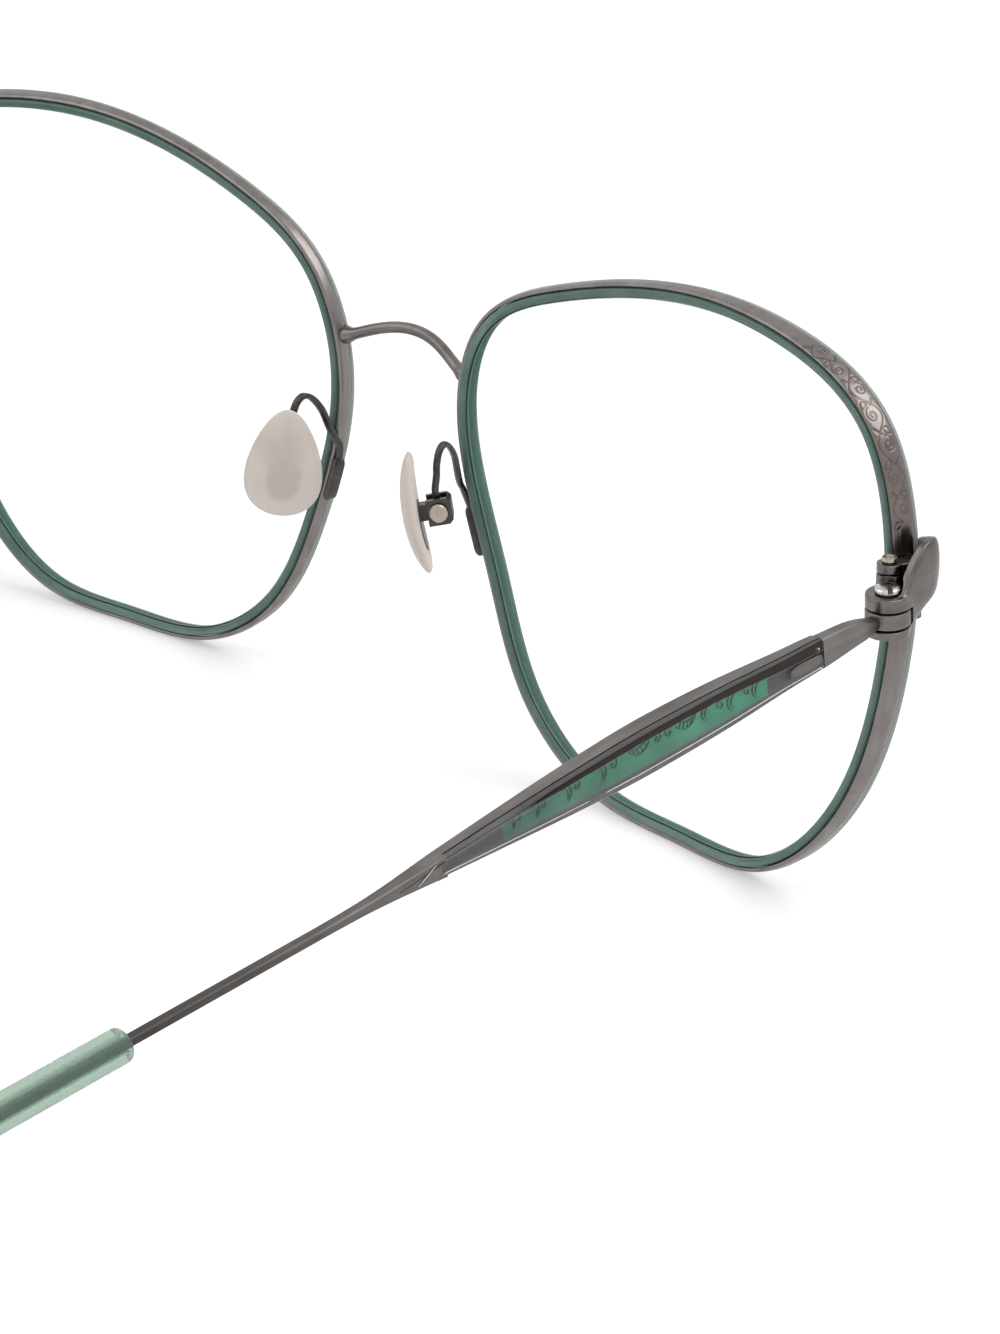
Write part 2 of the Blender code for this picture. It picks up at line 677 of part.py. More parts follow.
def temple_frame(distance):
    """Middle, outward and upward directions at a distance along the temple."""
    turn = min(max(distance - BEND_START, 0.0) / BEND_RADIUS, BEND_ANGLE)
    straight = min(distance, BEND_START)
    beyond = max(distance - BEND_END, 0.0)
    ahead = FORWARD * math.cos(turn) - ABOVE * math.sin(turn)
    above = ABOVE * math.cos(turn) + FORWARD * math.sin(turn)
    middle = FORWARD * straight + ahead * beyond
    middle = middle + BEND_RADIUS * (FORWARD * math.sin(turn) - ABOVE * (1.0 - math.cos(turn)))
    share = np.interp(distance, (NECK_START[0], NECK_END[0]), (0.0, 1.0))
    middle = middle + OUTWARD * TEMPLE_OUTWARD * share
    return middle, OUTWARD, above


def temple_ring(distance, shape):
    """Ring from a shape given as outward and upward distances from the temple's middle."""
    middle, outward, above = temple_frame(distance)
    rise = temple_size(distance)[2]
    return np.array([middle + outward * u + above * (v + rise) for u, v in shape])


def temple_section(distance, floor=None):
    """Rounded section of the temple, cut off below a floor where one is given."""
    height, thickness, rise = temple_size(distance)
    a = thickness / 2.0
    b = height / 2.0
    r = min(SECTION_ROUNDING, 0.8 * a, 0.8 * b)
    c = 0.3 * r
    shape = (
        (a, r - b), (a, b - r), (a - c, b - c), (a - r, b), (r - a, b), (c - a, b - c),
        (-a, b - r), (-a, r - b), (c - a, c - b), (r - a, -b), (a - r, -b), (a - c, c - b),
    )
    if floor is None:
        return shape
    return tuple((u, max(v, floor)) for u, v in shape)


def spine_floor(distance):
    return temple_size(distance)[0] / 2.0 - SPINE_HEIGHT


POCKET_OPEN = POCKET_START + POCKET_SLOPE
POCKET_CLOSE = POCKET_END - 2.0 * POCKET_SLOPE
POCKET_STATIONS = np.linspace(POCKET_OPEN, POCKET_CLOSE, 15)


def temple_core(side, name):
    rings = []
    neck = (NECK_START[0], NECK_SLOT[0], NECK_END[0], (NECK_END[0] + POCKET_START) / 2.0)
    for distance in (*neck, POCKET_START):
        rings.append(temple_ring(distance, temple_section(distance)))
    for distance in POCKET_STATIONS:
        shape = temple_section(distance, spine_floor(distance))
        rings.append(temple_ring(distance, shape))
    end = TEMPLE_TO_BEND + TIP_LENGTH - SLEEVE_BLIND - 1.0
    rear = [POCKET_END, (POCKET_END + TAPER[0]) / 2.0, TAPER[0], (TAPER[0] + WIRE[0]) / 2.0]
    rear += [WIRE[0], SLEEVE_START, *np.linspace(BEND_START, BEND_END, 4), end]
    for distance in rear:
        rings.append(temple_ring(distance, temple_section(distance)))
    part = make(name, skin(rings), METAL, side)
    low = -KNUCKLE_HALF
    knuckle = cylinder((0.0, 0.0, 0.0), HINGE_AXIS, KNUCKLE_RADIUS, low, KNUCKLE_HALF)
    join(part, [make("knuckle", knuckle, METAL, side)])
    bore = cylinder((0.0, 0.0, 0.0), HINGE_AXIS, HINGE_BORE, low - 1.0, KNUCKLE_HALF + 1.0, 20)
    cut(part, [make("bore", bore, METAL, side)])
    return part


def inlay_body(sign):
    """Half of the pocket's filling, on the outward side for a sign of 1."""
    rings = []
    first = POCKET_OPEN + INLAY_CLEARANCE
    last = POCKET_CLOSE - INLAY_CLEARANCE
    for distance in np.linspace(first, last, 15):
        height, thickness, rise = temple_size(distance)
        top = spine_floor(distance) - INLAY_CLEARANCE
        a = thickness / 2.0
        b = height / 2.0
        r = min(SECTION_ROUNDING, 0.8 * a, 0.8 * b)
        near = INLAY_CLEARANCE / 2.0
        shape = ((near, top), (a, top), (a, r - b), (a - 0.3 * r, 0.3 * r - b), (a - r, -b),
                 (near, -b))
        rings.append(temple_ring(distance, [(sign * u, v) for u, v in shape]))
    return skin(rings)


def rounded(half_width, half_height, power, count=16):
    """Closed outline between an ellipse (power 2) and a rectangle (high power)."""
    angles = (np.arange(count) + 0.5) * 2.0 * math.pi / count
    c = np.cos(angles)
    s = np.sin(angles)
    u = half_width * np.sign(c) * np.abs(c) ** (2.0 / power)
    v = half_height * np.sign(s) * np.abs(s) ** (2.0 / power)
    return list(zip(u, v))


def sleeve_body():
    end = TEMPLE_TO_BEND + TIP_LENGTH
    wide_from = end - SLEEVE_ROUNDING
    lip = SLEEVE_RADIUS - SLEEVE_LIP
    bend = list(np.linspace(BEND_START, BEND_END, 5))

    def outer(distance, share=1.0):
        grow = float(np.clip((distance - BEND_END) / (wide_from - BEND_END), 0.0, 1.0))
        grow = grow * grow * (3.0 - 2.0 * grow)
        a = SLEEVE_RADIUS + grow * (SLEEVE_END_THICKNESS / 2.0 - SLEEVE_RADIUS)
        b = SLEEVE_RADIUS + grow * (SLEEVE_END_HEIGHT / 2.0 - SLEEVE_RADIUS)
        return temple_ring(distance, rounded(a * share, b * share, 2.0))

    rings = [temple_ring(SLEEVE_START, rounded(lip, lip, 2.0))]
    rings.append(outer(SLEEVE_START + 0.4 * SLEEVE_LIP, 1.0 - 0.3 * SLEEVE_LIP / SLEEVE_RADIUS))
    rings += [outer(SLEEVE_START + 1.4 * SLEEVE_LIP), *(outer(d) for d in bend)]
    rings += [outer(d) for d in np.linspace(BEND_END, wide_from, 6)[1:]]
    for angle in (25.0, 45.0, 63.0, 79.0):
        turn = math.radians(angle)
        rings.append(outer(wide_from + SLEEVE_ROUNDING * math.sin(turn), math.cos(turn)))
    rings.append(temple_ring(end, ((0.0, 0.0),)))

    def inner(distance):
        a = WIRE[2] / 2.0 + SLEEVE_CLEARANCE
        b = WIRE[1] / 2.0 + SLEEVE_CLEARANCE
        return temple_ring(distance, rounded(a, b, 3.0))

    blind = end - SLEEVE_BLIND
    bore = [inner(SLEEVE_START), *(inner(d) for d in bend), inner(blind)]
    bore.append(temple_ring(blind + 0.15, ((0.0, 0.0),)))
    return skin([bore[-1], *bore[-2::-1], *rings])


# Bridge

def bridge_body():
    point, normal = (row[0] for row in outline((nose_side_distance(BRIDGE_HEIGHT),)))
    near = BAND_OUTER + BAND_CROWN + SOLDER_CLEARANCE
    face = on_lens(point, normal, near, -BRIDGE_FORWARD)
    square = unit(on_lens(point, normal, near + 1.0, -BRIDGE_FORWARD) - face)
    apex = np.array((0.0, BRIDGE_DEPTH, face[2] + BRIDGE_RISE))
    handles = (
        face, np.array((0.77 * face[0], face[1], face[2] + 0.27 * BRIDGE_RISE)),
        np.array((0.46 * face[0], BRIDGE_DEPTH, apex[2])), apex)
    half = []
    for t in np.linspace(0.0, 1.0, 10):
        a = 1.0 - t
        half.append(a ** 3 * handles[0] + 3.0 * a * a * t * handles[1]
                    + 3.0 * a * t * t * handles[2] + t ** 3 * handles[3])
    half = np.array(half)
    path = np.vstack((half, half[-2::-1] * np.array((-1.0, 1.0, 1.0))))
    runs = np.gradient(path, axis=0)
    rings = []
    angles = (np.arange(14) + 0.5) * 2.0 * math.pi / 14
    count = len(path)
    for i, (middle, run) in enumerate(zip(path, runs)):
        run = unit(run)
        back = unit(np.array((0.0, 1.0, 0.0)) - run * run[1])
        lift = np.cross(run, back)
        near = min(i, count - 1 - i)
        radius = (BRIDGE_FLARE, 0.5 * (BRIDGE_FLARE + BRIDGE_RADIUS))[near] if near < 2 \
            else BRIDGE_RADIUS
        ring = middle + radius * (np.outer(np.cos(angles), back) + np.outer(np.sin(angles), lift))
        if near == 0:
            flat = square if i == 0 else square * np.array((-1.0, 1.0, 1.0))
            ring = ring + np.outer((middle - ring) @ flat / np.dot(run, flat), run)
        rings.append(ring)
    return skin(rings)


# Nose pads

PAD_UP = unit(PAD_LONG_AXIS)
PAD_SKIN = unit(np.asarray(PAD_SKIN_SIDE) - PAD_UP * np.dot(PAD_SKIN_SIDE, PAD_UP))
PAD_ACROSS = np.cross(PAD_UP, PAD_SKIN)
PAD_PIVOT = np.asarray(PAD_CENTRE) - PAD_SKIN * PIVOT_DISTANCE
BOX_HALF_WIDTH = BOSS_WIDTH / 2.0 + BOX_CLEARANCE + BOX_WALL
PAD_BORE = PAD_SCREW_RADIUS + SCREW_CLEARANCE


def pad_ring(outline_2d, skin_height):
    """Ring in the pad's own axes, measured from its pivot; the pad bows to its skin side."""
    base = PAD_SKIN * (skin_height + PIVOT_DISTANCE)
    bend = 4.0 * PAD_BOW / PAD_HEIGHT ** 2
    return np.array([base + PAD_ACROSS * w + PAD_UP * h - PAD_SKIN * bend * h * h
                     for w, h in outline_2d])


def egg(share, count=24):
    angles = np.arange(count) * 2.0 * math.pi / count
    up = share * PAD_HEIGHT / 2.0 * np.sin(angles)
    across = share * PAD_WIDTH / 2.0 * np.cos(angles) * (1.0 - PAD_TAPER * np.sin(angles))
    return list(zip(across, up))


def insert_oval(extra, count=24):
    angles = np.arange(count) * 2.0 * math.pi / count
    up = (INSERT_HEIGHT / 2.0 + extra) * np.sin(angles) - INSERT_DROP
    return list(zip((INSERT_WIDTH / 2.0 + extra) * np.cos(angles), up))


def nose_pad_body():
    half = PAD_THICKNESS / 2.0
    rings = [pad_ring(((0.0, 0.0),), half)]
    for share, height in ((0.34, 0.93), (0.65, 0.66), (0.88, 0.22), (1.0, -0.3), (0.95, -0.8)):
        rings.append(pad_ring(egg(share), height * half))
    rings.append(pad_ring(egg(0.86), -half))
    floor = POCKET_DEPTH - half
    rings.append(pad_ring(insert_oval(INSERT_CLEARANCE), -half))
    rings.append(pad_ring(insert_oval(INSERT_CLEARANCE), floor))
    rings.append(pad_ring(((0.0, -INSERT_DROP),), floor))
    return skin(rings)


def pad_insert(side, name):
    top = POCKET_DEPTH - PAD_THICKNESS / 2.0 - INSERT_CLEARANCE
    plate = skin([pad_ring(insert_oval(0.0), top), pad_ring(insert_oval(0.0),
                                                          top - INSERT_THICKNESS)])
    part = make(name, plate, INSERT, side)
    angles = np.linspace(0.0, -math.pi, 9)
    start = top - 0.2 + PIVOT_DISTANCE
    shape = [(BOSS_RADIUS, start), *((BOSS_RADIUS * math.cos(a), BOSS_RADIUS * math.sin(a))
                                     for a in angles), (-BOSS_RADIUS, start)]
    rings = []
    for w in (-BOSS_WIDTH / 2.0, BOSS_WIDTH / 2.0):
        rings.append(np.array([PAD_ACROSS * w + PAD_UP * u + PAD_SKIN * v for u, v in shape]))
    join(part, [make("boss", skin(rings), INSERT, side)])
    bore = cylinder((0.0, 0.0, 0.0), PAD_ACROSS, PAD_BORE, -BOSS_WIDTH, BOSS_WIDTH, 16)
    cut(part, [make("bore", bore, INSERT, side)])
    return part


def pad_box(side, name):
    axes = (PAD_ACROSS, PAD_UP, PAD_SKIN)
    back = BOSS_RADIUS + BOX_CLEARANCE + BOX_BACK
    half = BOX_HEIGHT / 2.0
    edge = 0.35
    shape = [(-half, BOX_FRONT), (-half, edge - back), (edge - half, -back), (half - edge, -back),
             (half, edge - back), (half, BOX_FRONT)]
    rings = []
    for w in (-BOX_HALF_WIDTH, BOX_HALF_WIDTH):
        rings.append(np.array([PAD_PIVOT + PAD_ACROSS * w + PAD_UP * u + PAD_SKIN * v
                               for u, v in shape]))
    part = make(name, skin(rings), METAL, side)
    inside = BOSS_WIDTH / 2.0 + BOX_CLEARANCE
    slot = block(PAD_PIVOT, axes, (-inside, -half - 1.0, -BOSS_RADIUS - BOX_CLEARANCE),
                 (inside, half + 1.0, BOX_FRONT + 1.0))
    bore = cylinder(PAD_PIVOT, PAD_ACROSS, PAD_BORE, -BOX_HALF_WIDTH - 1.0, BOX_HALF_WIDTH + 1.0,
                    16)
    cut(part, [make("slot", slot, METAL, side), make("bore", bore, METAL, side)])
    return part


def pad_screw(side, name):
    axis = -PAD_ACROSS
    base = PAD_PIVOT + axis * (BOX_HALF_WIDTH + SCREW_CLEARANCE)
    part = make(name, screw(base, axis, PAD_SCREW_RADIUS, PAD_SCREW_HEAD_RADIUS, PAD_SCREW_HEAD,
                            2.0 * BOX_HALF_WIDTH, 16), STEEL, side)
    tool = slot_tool(base, axis, PAD_UP, PAD_SCREW_HEAD_RADIUS, PAD_SCREW_HEAD)
    cut(part, [make("slot", tool, STEEL, side)])
    return part


def arm_body():
    """Flat wire from its soldered base up, over a loop and down to the pad box."""
    top = nose_side_distance(ARM_BASE_TOP)
    bottom = nose_side_distance(ARM_BASE_BOTTOM)
    points, normals = outline(np.linspace(bottom, top, 4))
    near = BAND_OUTER + BAND_CROWN + SOLDER_CLEARANCE
    far = near + ARM_BASE_THICKNESS
    corners = ((near, ARM_BASE_FRONT), (far, ARM_BASE_FRONT), (far, ARM_BASE_BACK),
               (near, ARM_BASE_BACK))
    rings = []
    for point, normal in zip(points, normals):
        rings.append(np.array([on_lens(point, normal, o, d) for o, d in corners]))
    landing = BOX_HEIGHT / 2.0 + SOLDER_CLEARANCE
    path = [rings[-1].mean(axis=0), *ARM_POINTS, PAD_PIVOT + PAD_UP * (landing + 0.5),
            PAD_PIVOT + PAD_UP * landing]
    path = np.array([np.asarray(p, float) for p in path])
    runs = np.gradient(path, axis=0)
    runs[-1] = -PAD_UP
    wide = unit((-1.0, -0.25, 0.0))
    half_w = ARM_WIRE_WIDTH / 2.0
    half_t = ARM_WIRE_THICKNESS / 2.0
    for middle, run in zip(path[1:], runs[1:]):
        run = unit(run)
        side_way = unit(wide - run * np.dot(wide, run))
        thin = np.cross(side_way, run)
        corners = ((-half_w, -half_t), (half_w, -half_t), (half_w, half_t), (-half_w, half_t))
        rings.append(np.array([middle + side_way * a + thin * b for a, b in corners]))
    return skin(rings)


# Assembly

def empty(name, location, parent=None):
    pivot = bpy.data.objects.new(name, None)
    pivot.location = [value * MM for value in location]
    pivot.empty_display_size = 0.005
    pivot.parent = parent
    bpy.context.scene.collection.objects.link(pivot)
    return pivot


def lowest(parts, tilt):
    """Lowest height of the parts after the front is tilted."""
    turn = Matrix.Rotation(tilt, 4, "X")
    return min((turn @ p.parent.matrix_local @ v.co).z if p.parent.parent else (turn @ v.co).z
               for p in parts for v in p.data.vertices)


def clear_scene():
    for thing in list(bpy.data.objects):
        bpy.data.objects.remove(thing, do_unlink=True)


def build():
    clear_scene()
    front = empty("front_frame", (0.0, 0.0, 0.0))
    front_parts = [make("bridge", bridge_body(), METAL)]
    temple_parts = []
    for side, name in SIDES:
        mirror = np.array((side, 1.0, 1.0))
        fixed = [
            make(name + "_eyewire", eyewire_body(), METAL, side),
            make(name + "_inner_rim", inner_rim_body(), SMOKE, side),
            make(name + "_lens", lens_body(), CLEAR, side),
            closing_block(side, name + "_closing_block"),
            end_piece(side, name + "_end_piece"),
            lock_screw(side, name + "_rim_lock_screw"),
            hinge_screw(side, name + "_hinge_screw"),
            make(name + "_pad_arm", arm_body(), METAL, side, 55.0),
            pad_box(side, name + "_pad_box"),
            pad_screw(side, name + "_pad_screw"),
        ]
        front_parts += fixed
        hinge = empty(name + "_temple_pivot", HINGE * mirror, front)
        temple = [
            temple_core(side, name + "_temple_core"),
            make(name + "_temple_inlay", inlay_body(1), SMOKE_INLAY, side),
            make(name + "_green_panel", inlay_body(-1), GREEN, side),
            make(name + "_tip_sleeve", sleeve_body(), SLEEVE, side, 60.0),
        ]
        for part in temple:
            part.parent = hinge
        temple_parts += temple
        pivot = empty(name + "_pad_pivot", PAD_PIVOT * mirror, front)
        make(name + "_nose_pad", nose_pad_body(), SILICONE, side, 60.0).parent = pivot
        pad_insert(side, name + "_pad_insert").parent = pivot
    for part in front_parts:
        part.parent = front
    bpy.context.view_layer.update()

    low = 0.0
    high = math.radians(20.0)
    for _ in range(40):
        tilt = (low + high) / 2.0
        if lowest(front_parts, tilt) > lowest(temple_parts, tilt):
            low = tilt
        else:
            high = tilt
    front.rotation_euler = (tilt, 0.0, 0.0)
    bpy.context.view_layer.update()
    corners = [p.matrix_world @ v.co for p in front_parts + temple_parts for v in p.data.vertices]
    depth = [c.y for c in corners]
    front.location = (0.0, -(min(depth) + max(depth)) / 2.0, -min(c.z for c in corners))
    bpy.context.view_layer.update()


build()
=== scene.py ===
"""Looks of cat-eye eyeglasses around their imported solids.

Sizes are in millimetres until a mesh is made, in the same frame of the front as the solids:
X across the face, +Y from the lenses to the ears, +Z up the lens plane.
"""
from math import acos, asin, cos, pi, radians, sin, sqrt, tan

import bmesh
import bpy
import numpy as np
from mathutils import Matrix, Vector
from mathutils.kdtree import KDTree


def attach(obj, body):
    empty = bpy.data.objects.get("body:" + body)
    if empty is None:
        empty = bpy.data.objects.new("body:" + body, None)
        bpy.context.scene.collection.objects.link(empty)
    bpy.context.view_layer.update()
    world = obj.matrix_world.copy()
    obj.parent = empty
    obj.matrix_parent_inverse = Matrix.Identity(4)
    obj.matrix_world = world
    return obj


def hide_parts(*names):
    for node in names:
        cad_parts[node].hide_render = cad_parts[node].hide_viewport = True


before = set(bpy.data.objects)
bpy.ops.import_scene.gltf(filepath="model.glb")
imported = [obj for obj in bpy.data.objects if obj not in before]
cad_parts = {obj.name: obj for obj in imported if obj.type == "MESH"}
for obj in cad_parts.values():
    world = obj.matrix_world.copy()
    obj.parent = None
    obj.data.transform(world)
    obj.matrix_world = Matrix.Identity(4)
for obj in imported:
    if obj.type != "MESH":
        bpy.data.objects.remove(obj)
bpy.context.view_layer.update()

MM = 0.001
SIDES = {-1: "right_", 1: "left_"}
UP = np.array((0.0, 0.0, 1.0))
TILT = radians(5.002915)
SHIFT = np.array((0.0, -72.409928, 25.354087))
TURN = np.array(Matrix.Rotation(TILT, 3, "X"))

# Lens and rims as in the solids
LENS_WIDTH = 55.0
LENS_HEIGHT = 50.0
LENS_GAP = 17.3
LENS_THICKNESS = 1.4
LENS_RADIUS = 114.0
LENS_BEVEL_HEIGHT = 0.38
LENS_BEVEL_HALF = 0.35
FACE_WRAP = radians(4.58)
LENS_SHAPE = (
    (0.969, -0.021), (1.006, 0.46), (0.917, 0.796), (0.524, 0.982), (-0.036, 0.986),
    (-0.571, 0.84), (-0.887, 0.647), (-0.998, 0.36), (-0.875, -0.3), (-0.69, -0.71),
    (-0.35, -0.958), (0.045, -0.993), (0.39, -0.962), (0.805, -0.56),
)
RIM_BACK_MEAN = 1.10
RIM_BACK_SWING = 0.16
RIM_BACK_OUTWARD = 0.27
RIM_FRONT_MEAN = 1.14
RIM_FRONT_SWING = 0.17
RIM_FRONT_OUTWARD = 0.11
RIM_FRONT_TURN = radians(11.0)
RING_LIP = 0.28
RING_OUTER = 0.44
FLANGE_RISE = 0.17
FLANGE_DEPTH_MEAN = 0.48
FLANGE_DEPTH_SWING = 0.20
GROOVE_CLEARANCE = 0.12
GROOVE_HALF = 0.45
BAND_INNER = 0.54
BAND_OUTER = 0.88
BAND_CROWN = 0.05
BAND_EDGE_RISE = 0.12
BAND_BACK_STEP = 0.30
BAND_CLEARANCE = 0.10
SPLIT_HEIGHT = 9.25
SPLIT_GAP = 0.20
SOLDER_CLEARANCE = 0.13

# Hinge and temple as in the solids
LOCK_RADIUS = 1.05
LOCK = np.array((64.548232, 8.689718, 0.0))
HINGE = np.array((65.748232, 10.039718, 6.17))
HINGE_LEAN = radians(3.0)
HINGE_AXIS = np.array((0.0, sin(HINGE_LEAN), cos(HINGE_LEAN)))
KNUCKLE_RADIUS = 1.90
KNUCKLE_HALF = 0.675
UPPER_SEAT = 0.855
HINGE_TOP = 2.005
HINGE_BOTTOM = -1.575
HINGE_BORE = 0.72
KNUCKLE_RELIEF = 0.15
LOCK_BORE = 0.47
LOCK_TOP = 10.1
LOCK_UPPER_BOTTOM = 9.35
LOCK_LOWER_TOP = 9.15
LUG_CLEARANCE = 0.21
LUG_THICKNESS = 0.93
RIM_SIDE = np.array((64.394232, 6.24871, 9.216638))
PLATE_THICKNESS = 0.85
PLATE_BULGE = 0.24
PLATE_ROWS = np.array((
    (0.30, -1.30, 5.4, 11.5), (1.17, -1.56, 5.8, 11.7), (2.04, -1.30, 6.8, 11.9),
    (2.54, -0.53, 6.8, 12.0), (2.67, 0.67, 6.2, 11.8), (2.70, 1.67, 5.5, 10.9),
    (2.78, 2.47, 5.0, 9.8), (2.96, 3.17, 4.7, 8.9), (3.10, 3.82, 4.6, 8.25),
))
TEMPLE_YAW = radians(1.5)
TEMPLE_PITCH = radians(8.5)
TEMPLE_OUTWARD = 0.50
TEMPLE_TO_BEND = 100.0
TIP_LENGTH = 45.0
BEND_RADIUS = 16.0
BEND_ANGLE = radians(32.0)
TEMPLE_ROWS = np.array((
    (0.9, 0.9, 1.1, 0.0), (2.3, 1.2, 1.1, 0.15), (3.6, 1.75, 1.15, 0.38), (8.5, 2.7, 1.35, 0.55),
    (13.0, 2.95, 1.7, 0.64), (20.0, 3.6, 2.1, 0.75), (28.5, 3.85, 2.35, 0.82),
    (36.0, 3.45, 2.15, 0.79), (45.0, 2.5, 1.75, 0.74), (51.0, 1.75, 1.5, 0.69),
    (56.4, 1.1, 1.2, 0.62), (64.0, 0.78, 1.0, 0.58), (145.0, 0.78, 1.0, 0.58),
))
POCKET_OPEN = 8.9
SLEEVE_RADIUS = 1.4
SLEEVE_LIP = 0.35
SLEEVE_END_THICKNESS = 2.4
SLEEVE_END_HEIGHT = 4.2
SLEEVE_ROUNDING = 4.5
SLEEVE_CLEARANCE = 0.14
SLEEVE_BLIND = 4.0

# Bridge, pads and pad arms as in the solids
BRIDGE_RADIUS = 0.54
BRIDGE_FLARE = 0.76
BRIDGE_HEIGHT = 10.2
BRIDGE_FORWARD = 0.55
BRIDGE_RISE = 1.95
BRIDGE_DEPTH = -0.14
PAD_CENTRE = np.array((8.35, 8.5, -0.9))
PAD_LONG_AXIS = (-0.19, 0.07, 0.979)
PAD_SKIN_SIDE = (-0.70, 0.70, -0.17)
PAD_HEIGHT = 11.3
PAD_WIDTH = 7.0
PAD_BOW = 0.5
PAD_THICKNESS = 1.5
PAD_TAPER = 0.26
INSERT_WIDTH = 3.0
INSERT_HEIGHT = 4.8
INSERT_DROP = 1.2
INSERT_CLEARANCE = 0.12
POCKET_DEPTH = 0.55
PIVOT_DISTANCE = 2.55
BOX_HEIGHT = 2.4
ARM_BASE_BOTTOM = -5.9
ARM_BASE_TOP = -1.4
ARM_BASE_THICKNESS = 0.6
ARM_BASE_FRONT = -0.45
ARM_BASE_BACK = 0.65
ARM_WIRE_WIDTH = 0.7
ARM_WIRE_THICKNESS = 0.5
ARM_POINTS = (
    (8.12, 1.6, -0.45), (8.16, 2.1, 0.35), (8.38, 2.6, 1.35),
    (8.65, 3.26, 3.12), (8.8, 3.75, 3.95), (8.92, 4.2, 4.5), (9.05, 4.68, 4.9),
    (9.14, 5.12, 5.06), (9.22, 5.55, 4.95), (9.31, 5.95, 4.55), (9.38, 6.2, 4.0),
    (9.45, 6.38, 3.3), (9.58, 6.5, 2.5),
)

# Forms that only the looks have
LOCK_TOP_WIDER = 0.5
HEAD_RELIEF = 1.24
SCREW_LIFT = 0.12
SPINE_LOOK = 0.42
SKIRT_REACH = 0.80
SKIRT_SHARE = 0.62
SKIRT_RISE = 0.10
NOSE_START = 50.75
NOSE_CLOSE = 51.65
GREEN_START = 15.0
GREEN_END = 44.4
TONGUE_MIDDLE = 10.6
TONGUE_HALF = 2.1
HOLE_DISTANCE = 9.7
HOLE_RADIUS = 0.32
GLINT_DISTANCE = 9.6
GLINT_RADIUS = 0.09
NECK_LINE_START = 52.0
NECK_LINE_LENGTH = 1.9
LIP_LINE_LENGTH = 4.6
SLEEVE_START = 82.4
BRIDGE_FLARE_LENGTH = 0.85
SCROLL_DROP = 0.40
ENGRAVED_START = 3.6
ENGRAVED_END = 22.0
ENGRAVED_DEPTH = 0.035
ENGRAVED_LINE = 0.13
VINE_PERIOD = 5.0

# Painted shade on the band near its split, and darkening of the temple: distances, then shares or
# depths
SPLIT_PAINTED_SHADE = 0.62
SPLIT_PAINTED_SHADE_START = 3.0
SPLIT_PAINTED_SHADE_END = 13.0
# On the temple's bar: painted shade at its root by the knuckle, and darker towards its tail
BAR_SHADE_AND_DARKNESS = ((0.9, 2.2, 4.2, 51.0, 60.0, 72.0), (0.62, 0.5, 0.06, 0.0, 0.28, 0.6))
INLAY_SHADE = ((12.0, 22.0, 34.0), (0.62, 0.40, 0.34))


def unit(vectors):
    vectors = np.asarray(vectors, float)
    return vectors / np.linalg.norm(vectors, axis=-1, keepdims=True)


def closed_spline(points, steps):
    """Smooth closed curve through points, with steps samples on each stretch."""
    following = np.roll(points, -1, 0)
    chord = np.linalg.norm(following - points, axis=1)
    before = np.roll(chord, 1)
    matrix = np.diag(2.0 * (before + chord))
    matrix += np.roll(np.diag(chord), 1, 1) + np.roll(np.diag(before), -1, 1)
    slope = (following - points) / chord[:, None]
    bend = np.linalg.solve(matrix, 6.0 * (slope - np.roll(slope, 1, 0)))
    t = np.linspace(0.0, 1.0, steps, endpoint=False)[:, None]
    a = 1.0 - t
    sag = (a ** 3 - a) * bend[:, None] + (t ** 3 - t) * np.roll(bend, -1, 0)[:, None]
    curve = a * points[:, None] + t * following[:, None] + chord[:, None, None] ** 2 / 6.0 * sag
    return curve.reshape(-1, 2)


def smooth_path(points, steps):
    """Open curve through points, with steps samples on each stretch."""
    points = np.asarray(points, float)
    ends = np.vstack((2.0 * points[0] - points[1], points, 2.0 * points[-1] - points[-2]))
    a, b, c, d = (ends[i:len(points) - 1 + i, None] for i in range(4))
    t = np.linspace(0.0, 1.0, steps, endpoint=False)[:, None]
    curve = 0.5 * (2.0 * b + (c - a) * t + (2.0 * a - 5.0 * b + 4.0 * c - d) * t * t
                   + (3.0 * b - a - 3.0 * c + d) * t ** 3)
    return np.vstack((curve.reshape(-1, points.shape[1]), points[-1]))


def nearest(curve, height, way):
    """Place of a height in a closed curve, on its outer side (way 1) or nose side (way -1)."""
    return int(np.argmin(np.where(way * curve[:, 0] > 0.0, np.abs(curve[:, 1] - height), np.inf)))


def rim_curve():
    """Outline of the lens, which starts at the split in the band."""
    half = (LENS_WIDTH / 2.0, LENS_HEIGHT / 2.0)
    curve = closed_spline(np.array(LENS_SHAPE) * half, 60)
    return np.roll(curve, -nearest(curve, SPLIT_HEIGHT, 1), axis=0)


LENS_CENTRE = (LENS_WIDTH + LENS_GAP) / 2.0
CURVE = rim_curve()
CLOSED_CURVE = np.vstack((CURVE, CURVE[:1]))
CURVE_LENGTH = np.concatenate(
    ((0.0,), np.cumsum(np.linalg.norm(np.diff(CLOSED_CURVE, axis=0), axis=1))))
AROUND = CURVE_LENGTH[-1]
TANGENTS = np.roll(CURVE, -1, 0) - np.roll(CURVE, 1, 0)
NORMALS = unit(np.stack((TANGENTS[:, 1], -TANGENTS[:, 0]), axis=1))
CLOSED_NORMALS = np.vstack((NORMALS, NORMALS[:1]))
ALONG = np.array((cos(FACE_WRAP), sin(FACE_WRAP), 0.0))
BEHIND = np.array((-sin(FACE_WRAP), cos(FACE_WRAP), 0.0))


def outline(distances):
    """Points and outward normals at distances along the lens outline."""
    where = np.mod(np.asarray(distances, float), AROUND)
    points, normals = (
        np.stack([np.interp(where, CURVE_LENGTH, column) for column in table.T], 1)
        for table in (CLOSED_CURVE, CLOSED_NORMALS))
    return points, unit(normals)


def nose_side_distance(height):
    return CURVE_LENGTH[nearest(CURVE, height, -1)]


